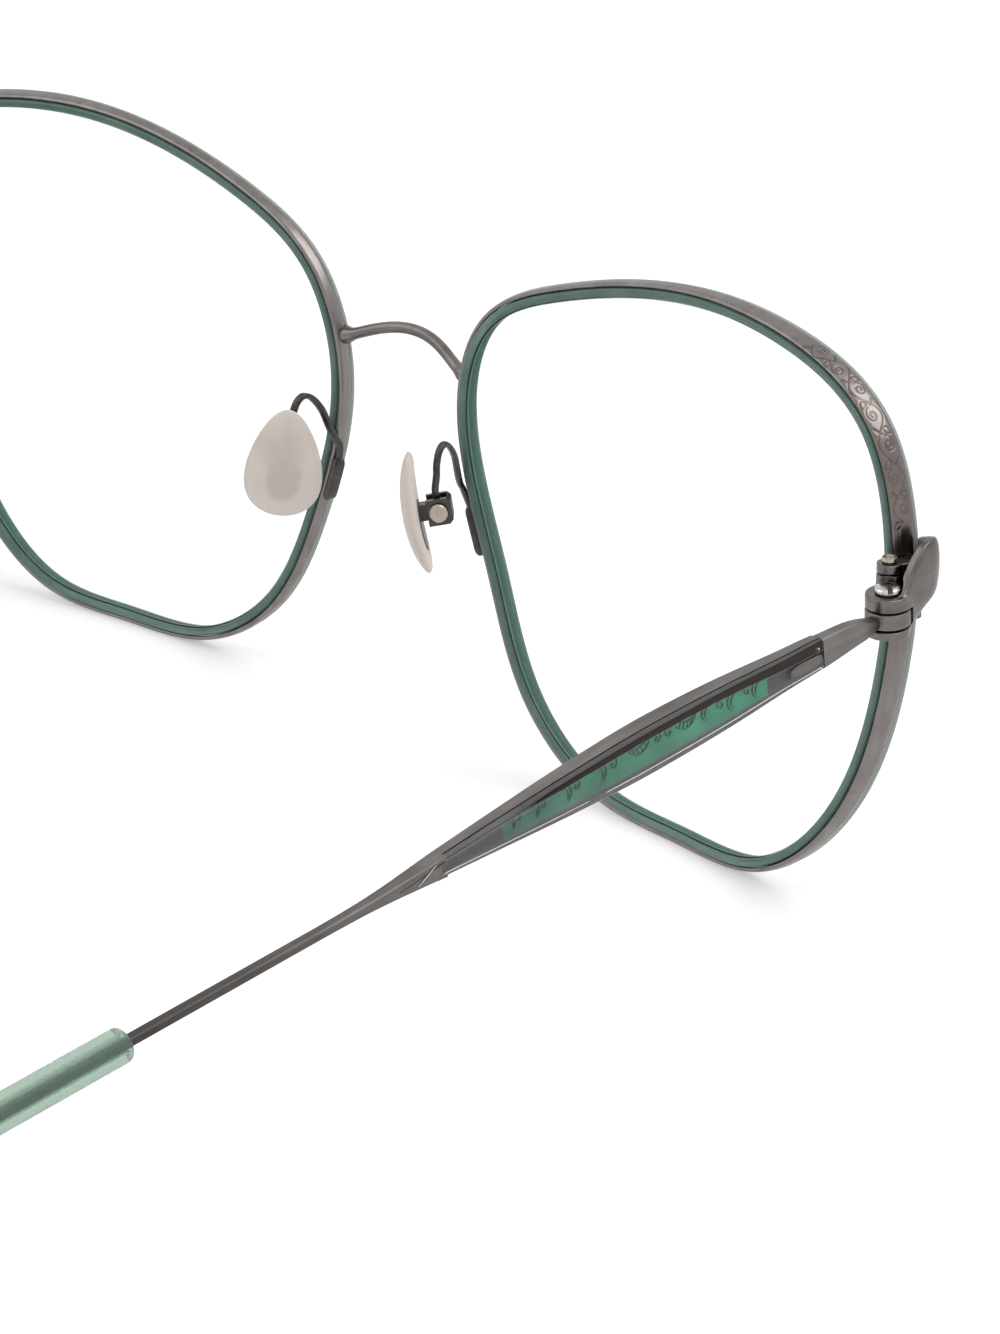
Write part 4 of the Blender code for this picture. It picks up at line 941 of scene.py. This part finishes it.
def bar_section(distance):
    """Section of the temple's bar, and how dark each of its points is painted: shade at the root and
    along the skirt's edge, darker towards the tail.
    """
    a, b, r = temple_half(distance)
    if not POCKET_OPEN - 0.02 < distance < NOSE_CLOSE + 0.1:
        r = min(r, float(np.interp(distance, (45.0, NOSE_CLOSE, 58.0), (r, 0.1, r))))
        dark = np.interp(distance, *BAR_SHADE_AND_DARKNESS)
        return soft_corners(((a, -b), (a, b), (-a, b), (-a, -b)), r, 7), np.full(28, dark)
    low = pocket_floor(distance)
    if distance > NOSE_START + 0.02:
        wall = a - 0.02
        corners = ((wall, low), (wall, b - 0.02), (wall - 0.01, b - 0.01), (wall - 0.02, b),
                   (wall - 0.03, b), (-a, b), (-a, low))
        return soft_corners(corners, 0.09), np.zeros(28)
    reach = min(SKIRT_REACH, SKIRT_SHARE * a)
    lip = b - SKIRT_RISE
    corners = ((a - 0.17, low), (a - 0.17, lip), (a - reach, lip), (a - reach, b),
               (a - reach - 0.15, b), (-a, b), (-a, low))
    shape = soft_corners(corners, 0.09)
    # Painted shade line where the skirt meets the bar
    return shape, (shape[:, 0] > a - reach - 0.09) & (shape[:, 1] > b - 0.5)


def temple_core(side):
    stations = np.sort(np.concatenate((
        np.linspace(0.9, 8.4, 26), (POCKET_OPEN - 0.04, POCKET_OPEN),
        np.linspace(9.2, NOSE_CLOSE - 0.3, 90), (NOSE_START, NOSE_START + 0.05, NOSE_CLOSE),
        (NOSE_CLOSE + 0.2,), np.linspace(51.7, 64.0, 26), (74.0, SLEEVE_START),
        np.linspace(BEND_START, BEND_END, 16), (TEMPLE_END - SLEEVE_BLIND - 1.0,))))
    sections = [bar_section(distance) for distance in stations]
    bar = skin([temple_ring(distance, shape) for distance, (shape, _) in zip(stations, sections)])
    body = together(bar, knuckle(), rear_wall(), front_tongue())
    thing = piece(side, "temple_bar", body, BRUSHED, "temple", "temple_core", 50.0)
    # The attribute cut here carries the bar's painted shade and its darkening towards the tail
    dark = np.zeros(len(body[0]))
    dark[:len(bar[0])] = np.concatenate([marks for _, marks in sections])
    tint(thing, "cut", dark)


def bead(distance, u, v, radius):
    rings = []
    for turn in np.linspace(0.15, pi - 0.15, 9):
        shape = np.array((u, v)) + radius * sin(turn) * circle(14)
        rings.append(temple_ring(distance - radius * cos(turn), shape))
    return skin(rings)


def strip(rows, proud, lean):
    """Thin strip on the temple's outer side, from rows of distance, height and half width."""
    rings = []
    for distance, height, half in rows:
        a = temple_half(distance)[0]
        sides = ((a - 0.1, half), (a + proud, half), (a + proud, -half), (a - 0.1, -half))
        rings.append([temple_point(distance + lean[0] * w, u, height + lean[1] * w)
                      for u, w in sides])
    return skin(rings)


def neck_line(shift, width, proud):
    """Slanted line on the outer side of the temple behind the inlay: a groove's painted shade, and
    beside it its painted highlight.
    """
    rows = []
    for t in np.linspace(0.0, 1.0, 9):
        distance = NECK_LINE_START + NECK_LINE_LENGTH * t + shift
        half = width * (0.3 + 0.7 * sin(pi * (0.12 + 0.76 * t)))
        rows.append((distance, temple_half(distance)[1] * (0.72 - 1.25 * t), half))
    return strip(rows, proud, (0.6, 0.8))


def lip_line():
    """Dark line of painted shadow under the bar's lip, along the outer side of the temple from the
    inlay's nose to the neck.
    """
    rows = []
    for t in np.linspace(0.0, 1.0, 12):
        distance = NOSE_START + 0.3 + LIP_LINE_LENGTH * t
        rows.append((distance, temple_half(distance)[1] - 0.40 - 0.25 * t, 0.075 * (1.0 - 0.55 * t)))
    return strip(rows, 0.012, (0.0, 1.0))


def temple_painted_shade(side):
    """Painted shade of a hole and of lines on the temple's outer side, as dark beads and strips, and
    painted glints on them of bright steel.
    """
    a, b, _ = temple_half(HOLE_DISTANCE)
    hole = bead(HOLE_DISTANCE, a - 0.10, b - 0.72, HOLE_RADIUS)
    dark = together(hole, neck_line(0.0, 0.15, 0.012), lip_line())
    piece(side, "temple_painted_shade", dark, PAINTED_SHADE_MARK, "temple")
    glint = bead(GLINT_DISTANCE, a + 0.12, b - 0.52, GLINT_RADIUS)
    glints = together(glint, neck_line(-0.04, 0.05, 0.025))
    piece(side, "temple_glints", glints, STEEL, "temple")


def inlay_sizes(distance):
    """Half sizes, top, bottom and edge radius of the inlays, which end in a round nose."""
    a, b, r = temple_half(distance)
    top = pocket_floor(distance) - 0.05
    middle = (top - b) / 2.0
    radius = (top + b) / 2.0
    over = max(0.0, distance - NOSE_START) / (0.86 * radius)
    radius = radius * sqrt(max(0.02, 1.0 - over ** 2))
    return a, b, middle + radius, middle - radius, min(r, 0.8 * radius)


def inlay_stations(count):
    nose = 0.4 * (pocket_floor(NOSE_START) + temple_half(NOSE_START)[1])
    return np.concatenate((np.linspace(POCKET_OPEN + 0.04, NOSE_START, count),
                           NOSE_START + nose * np.sin(np.linspace(0.2, pi / 2.0, 9))))


def lower_edge(a, low, r):
    """Points of an inlay's rounded lower edge on its outer side."""
    return [(a - x * r, low + y * r)
            for x, y in ((0.0, 1.0), (0.1, 0.55), (0.3, 0.3), (0.55, 0.1), (1.0, 0.0))]


def temple_inlay(side):
    deep = 0.05
    rings, tones = [], []
    for distance in inlay_stations(120):
        a, b, top, low, r = inlay_sizes(distance)
        reach = min(SKIRT_REACH, SKIRT_SHARE * a) - 0.03
        shade = b - float(np.interp(distance, *INLAY_SHADE))
        if distance > NOSE_START:
            crest, under = top + 0.02, top + 0.01
            shade = min(shade, top - 0.1)
        else:
            crest = b - 0.02
            under = min(crest - 0.02, b - SKIRT_RISE + 0.03)
        rise = crest - top
        fall = shade - low
        shape = [
            (deep, top), (a - 0.2, top), (a - 0.14, under), (a - reach, under),
            (a - reach, crest), (a - 0.25, crest), (a - 0.08, crest - 0.04 * rise),
            (a, crest - 0.3 * rise), (a, shade + 0.12), (a, shade), (a, shade - min(0.35, 0.3 * fall)),
            (a, low + 0.5 * fall), *lower_edge(a, low, r), (deep, low)]
        rings.append(temple_ring(distance, shape))
        dark = 1.0 - 0.84 * float(np.clip((distance - 34.0) / 11.0, 0.0, 1.0))
        over = min(dark, 0.32)
        tones += [0.0, *[over] * 6, dark, dark, dark, 0.0, 0.0, 0.12, 0.18, 0.2, 0.16, 0.12, 0.1]
    thing = piece(side, "smoke_inlay", skin(rings), INLAY, "temple",
                  "temple_inlay", 50.0)
    tint(thing, "tone", tones)


def green_panel(side):
    deep = -0.05
    rings, tones = [], []
    edges = (GREEN_START - 0.04, GREEN_START + 0.04)
    for distance in np.sort(np.concatenate((inlay_stations(130), edges))):
        a, _, top, low, r = inlay_sizes(distance)
        cut = low + 0.08 * (top - low)
        edge = [(-u, v) for u, v in lower_edge(a, low, r)]
        shape = [(deep, top), (-a, top), (-a, cut + 0.08), (-a, cut), *edge, (deep, low), (deep, cut),
                 (deep, cut + 0.22)]
        rings.append(temple_ring(distance, shape))
        shade = 1.0
        if GREEN_START < distance < GREEN_END:
            shade = float(np.interp(distance, (20.0, 32.0, GREEN_END), (0.0, 0.24, 0.55)))
        tones += [shade, shade, shade, *[1.0] * 8, shade]
    thing = piece(side, "green_inlay", skin(rings), GREEN, "temple",
                  "green_panel", 50.0)
    tint(thing, "tone", tones)


CRESCENT = ((0.0, 0.0), (0.45, 0.06), (0.85, 0.35), (1.0, 0.8), (0.86, 1.2), (0.62, 1.42))
INNER_ARC = ((0.1, 0.28), (0.42, 0.38), (0.66, 0.66), (0.7, 1.0), (0.56, 1.22))
CURL = ((0.0, 0.0), (0.35, 0.3), (0.45, 0.7), (0.22, 0.95), (-0.02, 0.82), (0.02, 0.6),
        (0.18, 0.56))
LEAF_TOP = ((0.0, 0.15), (0.5, 0.5), (1.1, 0.62), (1.8, 0.4), (2.3, 0.02))
LEAF_LOW = ((0.0, 0.15), (0.45, 0.85), (1.15, 1.15), (1.95, 0.8), (2.3, 0.02))
LEAF_VEINS = (((0.5, 0.5), (0.75, 0.98)), ((0.9, 0.6), (1.1, 1.12)), ((1.3, 0.58), (1.5, 1.04)),
              ((1.65, 0.45), (1.85, 0.86)))
LEAF = tuple((points, 0.038) for points in (LEAF_TOP, LEAF_LOW, *LEAF_VEINS))
# Pairs of strokes, as points and half width, and their places: start, sense and size
STROKES = (
    (((CRESCENT, 0.06), (INNER_ARC, 0.045)),
     ((15.5, 1, 1.265), (18.3, 1, 1.3225), (21.4, 1, 1.15), (34.5, -1, 1.265),
      (38.2, -1, 1.15), (41.4, -1, 0.92), (43.8, -1, 0.69))),
    (((CURL, 0.05),),
     ((17.2, 1, 1.04), (20.2, 1, 1.17), (32.6, -1, 1.235), (36.6, -1, 1.105),
      (40.2, -1, 0.845), (42.8, -1, 0.65))),
    (LEAF, ((23.0, 1, 1.15), (30.9, -1, 1.15))),
    (((CURL, 0.05),), ((26.1, 1, 1.17), (27.7, -1, 1.17))),
)


def stroke(points, width, start, way, size):
    """Flat stroke of a scroll between the two inlays."""
    path = smooth_path(points, 9) * size
    taper = width * (0.35 + 0.65 * np.sin(np.linspace(0.15, pi, len(path))))
    rings = []
    for (x, y), (dx, dy), w in zip(path, unit(np.gradient(path, axis=0)), taper):
        ring = []
        for half, u in ((w, -0.035), (w, 0.035), (-w, 0.035), (-w, -0.035)):
            distance = start + way * (x - dy * half)
            height = pocket_floor(distance) - SCROLL_DROP - (y + dx * half)
            ring.append(temple_point(distance, u, height))
        rings.append(ring)
    return skin(rings)


def scrolls(side):
    bodies = []
    for forms, places in STROKES:
        for place in places:
            bodies += [stroke(points, width, *place) for points, width in forms]
    piece(side, "scrolls", together(*bodies), SCROLL, "temple")


def oval(half_width, half_height, power):
    """Rounded outline; the power 2 gives an ellipse and a higher one fuller corners."""
    angles = (np.arange(40) + 0.5) * pi / 20.0
    shape = np.stack((np.cos(angles), np.sin(angles)), 1)
    return np.sign(shape) * np.abs(shape) ** (2.0 / power) * (half_width, half_height)


def tip_sleeve(side):
    wide_from = TEMPLE_END - SLEEVE_ROUNDING
    blind = TEMPLE_END - SLEEVE_BLIND

    def outer(distance, share=1.0):
        grow = float(np.clip((distance - BEND_END) / (wide_from - BEND_END), 0.0, 1.0))
        grow = grow * grow * (3.0 - 2.0 * grow)
        a = SLEEVE_RADIUS + grow * (SLEEVE_END_THICKNESS / 2.0 - SLEEVE_RADIUS)
        b = SLEEVE_RADIUS + grow * (SLEEVE_END_HEIGHT / 2.0 - SLEEVE_RADIUS)
        return temple_ring(distance, oval(a * share, b * share, 2.0))

    bore = oval(0.5 + SLEEVE_CLEARANCE, 0.39 + SLEEVE_CLEARANCE, 3.0)
    rings = [temple_point(blind + 0.15, 0.0, 0.0), temple_ring(blind, bore)]
    for distance in (*np.linspace(BEND_END, BEND_START, 16), SLEEVE_START):
        rings.append(temple_ring(distance, bore))
    lip = 1.0 - SLEEVE_LIP / SLEEVE_RADIUS
    for turn in np.linspace(0.0, pi / 2.0, 7):
        rings.append(outer(SLEEVE_START + 1.4 * SLEEVE_LIP * (1.0 - cos(turn)),
                           lip + (1.0 - lip) * sin(turn)))
    rings += [outer(distance) for distance in (
        *np.linspace(SLEEVE_START + 2.0, BEND_START, 8),
        *np.linspace(BEND_START, BEND_END, 24)[1:], *np.linspace(BEND_END, wide_from, 30)[1:])]
    for turn in np.radians(np.linspace(8.0, 84.0, 14)):
        rings.append(outer(wide_from + SLEEVE_ROUNDING * sin(turn), cos(turn)))
    rings.append(temple_point(TEMPLE_END, 0.0, 0.0))
    piece(side, "clear_tip", skin(rings), SLEEVE, "temple", "tip_sleeve", 60.0)


# Bridge, pads and pad arms

def bridge():
    points, normals = outline((nose_side_distance(BRIDGE_HEIGHT),))
    near = BAND_OUTER + BAND_CROWN + SOLDER_CLEARANCE
    face, root = on_lens(points, normals, (near, BAND_OUTER - 0.15), -BRIDGE_FORWARD)[0]
    apex = np.array((0.0, BRIDGE_DEPTH, face[2] + BRIDGE_RISE))
    handles = (face, np.array((0.77 * face[0], face[1], face[2] + 0.27 * BRIDGE_RISE)),
               np.array((0.46 * face[0], BRIDGE_DEPTH, apex[2])), apex)
    half = [root]
    for t in np.linspace(0.0, 1.0, 46):
        s = 1.0 - t
        shares = (s ** 3, 3.0 * s * s * t, 3.0 * s * t * t, t ** 3)
        half.append(sum(share * handle for share, handle in zip(shares, handles)))
    half = np.array(half)
    path = np.vstack((half, half[-2::-1] * np.array((-1.0, 1.0, 1.0))))
    away = np.concatenate(((0.0,), np.cumsum(np.linalg.norm(np.diff(half, axis=0), axis=1))))
    away = np.concatenate((away, away[-2::-1]))
    flare = BRIDGE_FLARE + 0.12 - BRIDGE_RADIUS
    sizes = BRIDGE_RADIUS + flare * np.exp(-(away / BRIDGE_FLARE_LENGTH) ** 2)
    wire = pipe(path, np.array((0.0, 1.0, 0.0)), circle(28), sizes)
    finish_piece("bridge_wire", mesh_of("bridge_wire", wire, 1), GUNMETAL, "front",
                 ["bridge"], 60.0)


PAD_UP = unit(PAD_LONG_AXIS)
PAD_SKIN = unit(np.asarray(PAD_SKIN_SIDE) - PAD_UP * np.dot(PAD_SKIN_SIDE, PAD_UP))
PAD_ACROSS = np.cross(PAD_UP, PAD_SKIN)
PAD_PIVOT = PAD_CENTRE - PAD_SKIN * PIVOT_DISTANCE


def pad_ring(shape, height):
    """Ring of the pad, which bows to its skin side."""
    shape = np.asarray(shape, float)
    level = height + PIVOT_DISTANCE - 4.0 * PAD_BOW / PAD_HEIGHT ** 2 * shape[:, 1] ** 2
    return PAD_PIVOT + np.outer(level, PAD_SKIN) + shape @ np.stack((PAD_ACROSS, PAD_UP))


def egg(share):
    across, up = circle(64).T
    return np.stack((share * PAD_WIDTH / 2.0 * across * (1.0 - PAD_TAPER * up),
                     share * PAD_HEIGHT / 2.0 * up), 1)


def nose_pad(side):
    half = PAD_THICKNESS / 2.0
    shares = (0.0, 0.34, 0.65, 0.88, 1.0, 0.95, 0.86)
    levels = (1.0, 0.93, 0.66, 0.22, -0.3, -0.8, -1.0)
    rings = [pad_ring(((0.0, 0.0),), half)]
    for share, level in smooth_path(np.stack((shares, levels), 1), 4)[2:]:
        rings.append(pad_ring(egg(min(share, 1.0)), min(level, 1.0) * half))
    pocket = circle(64) * (INSERT_WIDTH / 2.0 + INSERT_CLEARANCE,
                           INSERT_HEIGHT / 2.0 + INSERT_CLEARANCE) - (0.0, INSERT_DROP)
    rings += [pad_ring(pocket, -half), pad_ring(pocket, POCKET_DEPTH - half),
              pad_ring(((0.0, -INSERT_DROP),), POCKET_DEPTH - half)]
    piece(side, "soft_pad", skin(rings), SILICONE, "nose_pad_body", "nose_pad",
          60.0)


def rectangle(left, right, bottom, top):
    return (left, bottom), (right, bottom), (right, top), (left, top)


def pad_arm(side):
    ends = nose_side_distance(ARM_BASE_BOTTOM), nose_side_distance(ARM_BASE_TOP)
    points, normals = outline(np.linspace(*ends, 22))
    near = BAND_OUTER
    far = BAND_OUTER + BAND_CROWN + SOLDER_CLEARANCE + ARM_BASE_THICKNESS
    middle = (ARM_BASE_FRONT + ARM_BASE_BACK) / 2.0
    rings = []
    for i in range(22):
        shrink = (0.72, 0.9, 0.97, 1.0)[min(i, 21 - i, 3)]
        reach = (ARM_BASE_BACK - ARM_BASE_FRONT) / 2.0 * shrink
        corners = rectangle(near, near + (far - near) * shrink, middle - reach, middle + reach)
        offset, depth = soft_corners(corners, 0.2, 5).T
        rings.append(on_lens(points[i:i + 1], normals[i:i + 1], offset, depth)[0])
    landing = PAD_PIVOT + PAD_UP * (BOX_HEIGHT / 2.0 - 0.1)
    start = on_lens(points[-2:-1], normals[-2:-1], (near + far) / 2.0, 0.1)[0, 0]
    path = smooth_path((start, *ARM_POINTS, landing + PAD_UP * 0.7, landing), 8)
    wide = ARM_WIRE_WIDTH / 2.0
    thin = ARM_WIRE_THICKNESS / 2.0
    wire = pipe(path, unit((-1.0, -0.25, 0.0)), soft_corners(rectangle(-wide, wide, -thin, thin), 0.2))
    piece(side, "pad_wire", together(skin(rings), wire), DARK_WIRE, "front", "pad_arm",
          60.0)


def pad_insert(side):
    """Insert of the pad, which looks dark where it stands out of its pocket."""
    thing = rounded_copy(side, "pad_insert", "soft_insert", 0.06, INSERT, "nose_pad_body")
    places = np.array([vertex.co for vertex in thing.data.vertices]) / MM - SHIFT
    places = places @ TURN * np.array((side, 1.0, 1.0)) - PAD_PIVOT
    height = places @ PAD_SKIN - PIVOT_DISTANCE + PAD_THICKNESS / 2.0
    tint(thing, "tone", np.clip((-0.02 - height) / 0.06, 0.0, 1.0))


bridge()
lock_and_hinge()
lock_screws()
hinge_screws()
for side in SIDES:
    for build in (eyewire, inner_rim, lens, temple_core, temple_inlay, green_panel, scrolls,
                  temple_painted_shade, tip_sleeve, nose_pad, pad_arm):
        build(side)
    rounded_copy(side, "pad_box", "soft_pad_box", 0.12, DARK_WIRE, "front")
    rounded_copy(side, "pad_screw", "cross_screw", 0.12, PAD_STEEL, "front")
    pad_insert(side)


# Stage

FLOOR_HALF = 3.0
FLOOR_GREY = (0.78, 0.78, 0.78, 1.0)
FLOOR_GLOW_NEAR = 0.36
FLOOR_GLOW_FAR = 0.60
GLOW_GROWS_FROM = 0.2
GLOW_GROWS_TO = 0.6
WORLD_LIGHT = 0.55
LAMPS = (("key", (-0.35, -0.25, 0.7), 0.6, 3.2), ("fill", (0.5, 0.45, 0.6), 0.7, 1.7))
CAMERA_PLACE = (-0.31487524, 0.22063151, 0.20989062)
CAMERA_TURN = (64.354977, 2.839067, -135.220172)
FOCAL_LENGTH = 137.3963
SENSOR = 36.0


def seen_plainly(tree):
    """Share that is 1 for rays from the camera, and for those by way of metal or glass."""
    rays = add(tree, "LightPath", {}).outputs
    share = maths(tree, "MAXIMUM", rays["Is Camera Ray"], rays["Is Glossy Ray"])
    return maths(tree, "MAXIMUM", share, rays["Is Transmission Ray"])


def white_floor():
    mesh = bpy.data.meshes.new("floor")
    corners = rectangle(-FLOOR_HALF, FLOOR_HALF, -FLOOR_HALF, FLOOR_HALF)
    mesh.from_pydata([(*corner, 0.0) for corner in corners], [], [(0, 1, 2, 3)])
    floor = placed("floor", mesh)
    made, tree, shader = shader_of("floor_white")
    tree.nodes.remove(shader)
    diffuse = add(tree, "BsdfDiffuse", {"Color": FLOOR_GREY})
    away = tree.nodes.new("ShaderNodeVectorMath")
    away.operation = "LENGTH"
    feed(tree, away, {0: add(tree, "TexCoord", {}).outputs["Object"]})
    level = spread(tree, away.outputs["Value"], FLOOR_GLOW_NEAR, FLOOR_GLOW_FAR, GLOW_GROWS_TO,
                   GLOW_GROWS_FROM)
    glow = add(tree, "Emission", {"Strength": maths(tree, "MULTIPLY", seen_plainly(tree), level)})
    both = add(tree, "AddShader", {0: diffuse.outputs[0], 1: glow.outputs[0]})
    feed(tree, tree.nodes["Material Output"], {"Surface": both.outputs[0]})
    mesh.materials.append(made)


def studio_light():
    world = bpy.data.worlds.new("studio")
    bpy.context.scene.world = world
    world.use_nodes = True
    tree = world.node_tree
    strength = spread(tree, seen_plainly(tree), WORLD_LIGHT, 1.0)
    feed(tree, tree.nodes["Background"], {"Color": (1.0, 1.0, 1.0, 1.0), "Strength": strength})
    for name, place, size, power in LAMPS:
        light = bpy.data.lights.new(name, "AREA")
        light.size = size
        light.energy = power
        lamp = placed(name, light)
        lamp.location = place
        lamp.rotation_mode = "QUATERNION"
        lamp.rotation_quaternion = (-Vector(place)).to_track_quat("-Z", "Y")


def camera():
    lens_data = bpy.data.cameras.new("camera")
    lens_data.sensor_fit = "VERTICAL"
    lens_data.sensor_height = SENSOR
    lens_data.sensor_width = SENSOR
    lens_data.lens = FOCAL_LENGTH
    lens_data.clip_start = 0.01
    made = placed("camera", lens_data)
    made.location = CAMERA_PLACE
    made.rotation_euler = [radians(angle) for angle in CAMERA_TURN]
    bpy.context.scene.camera = made


white_floor()
studio_light()
camera()
bpy.context.scene.view_settings.view_transform = "Standard"
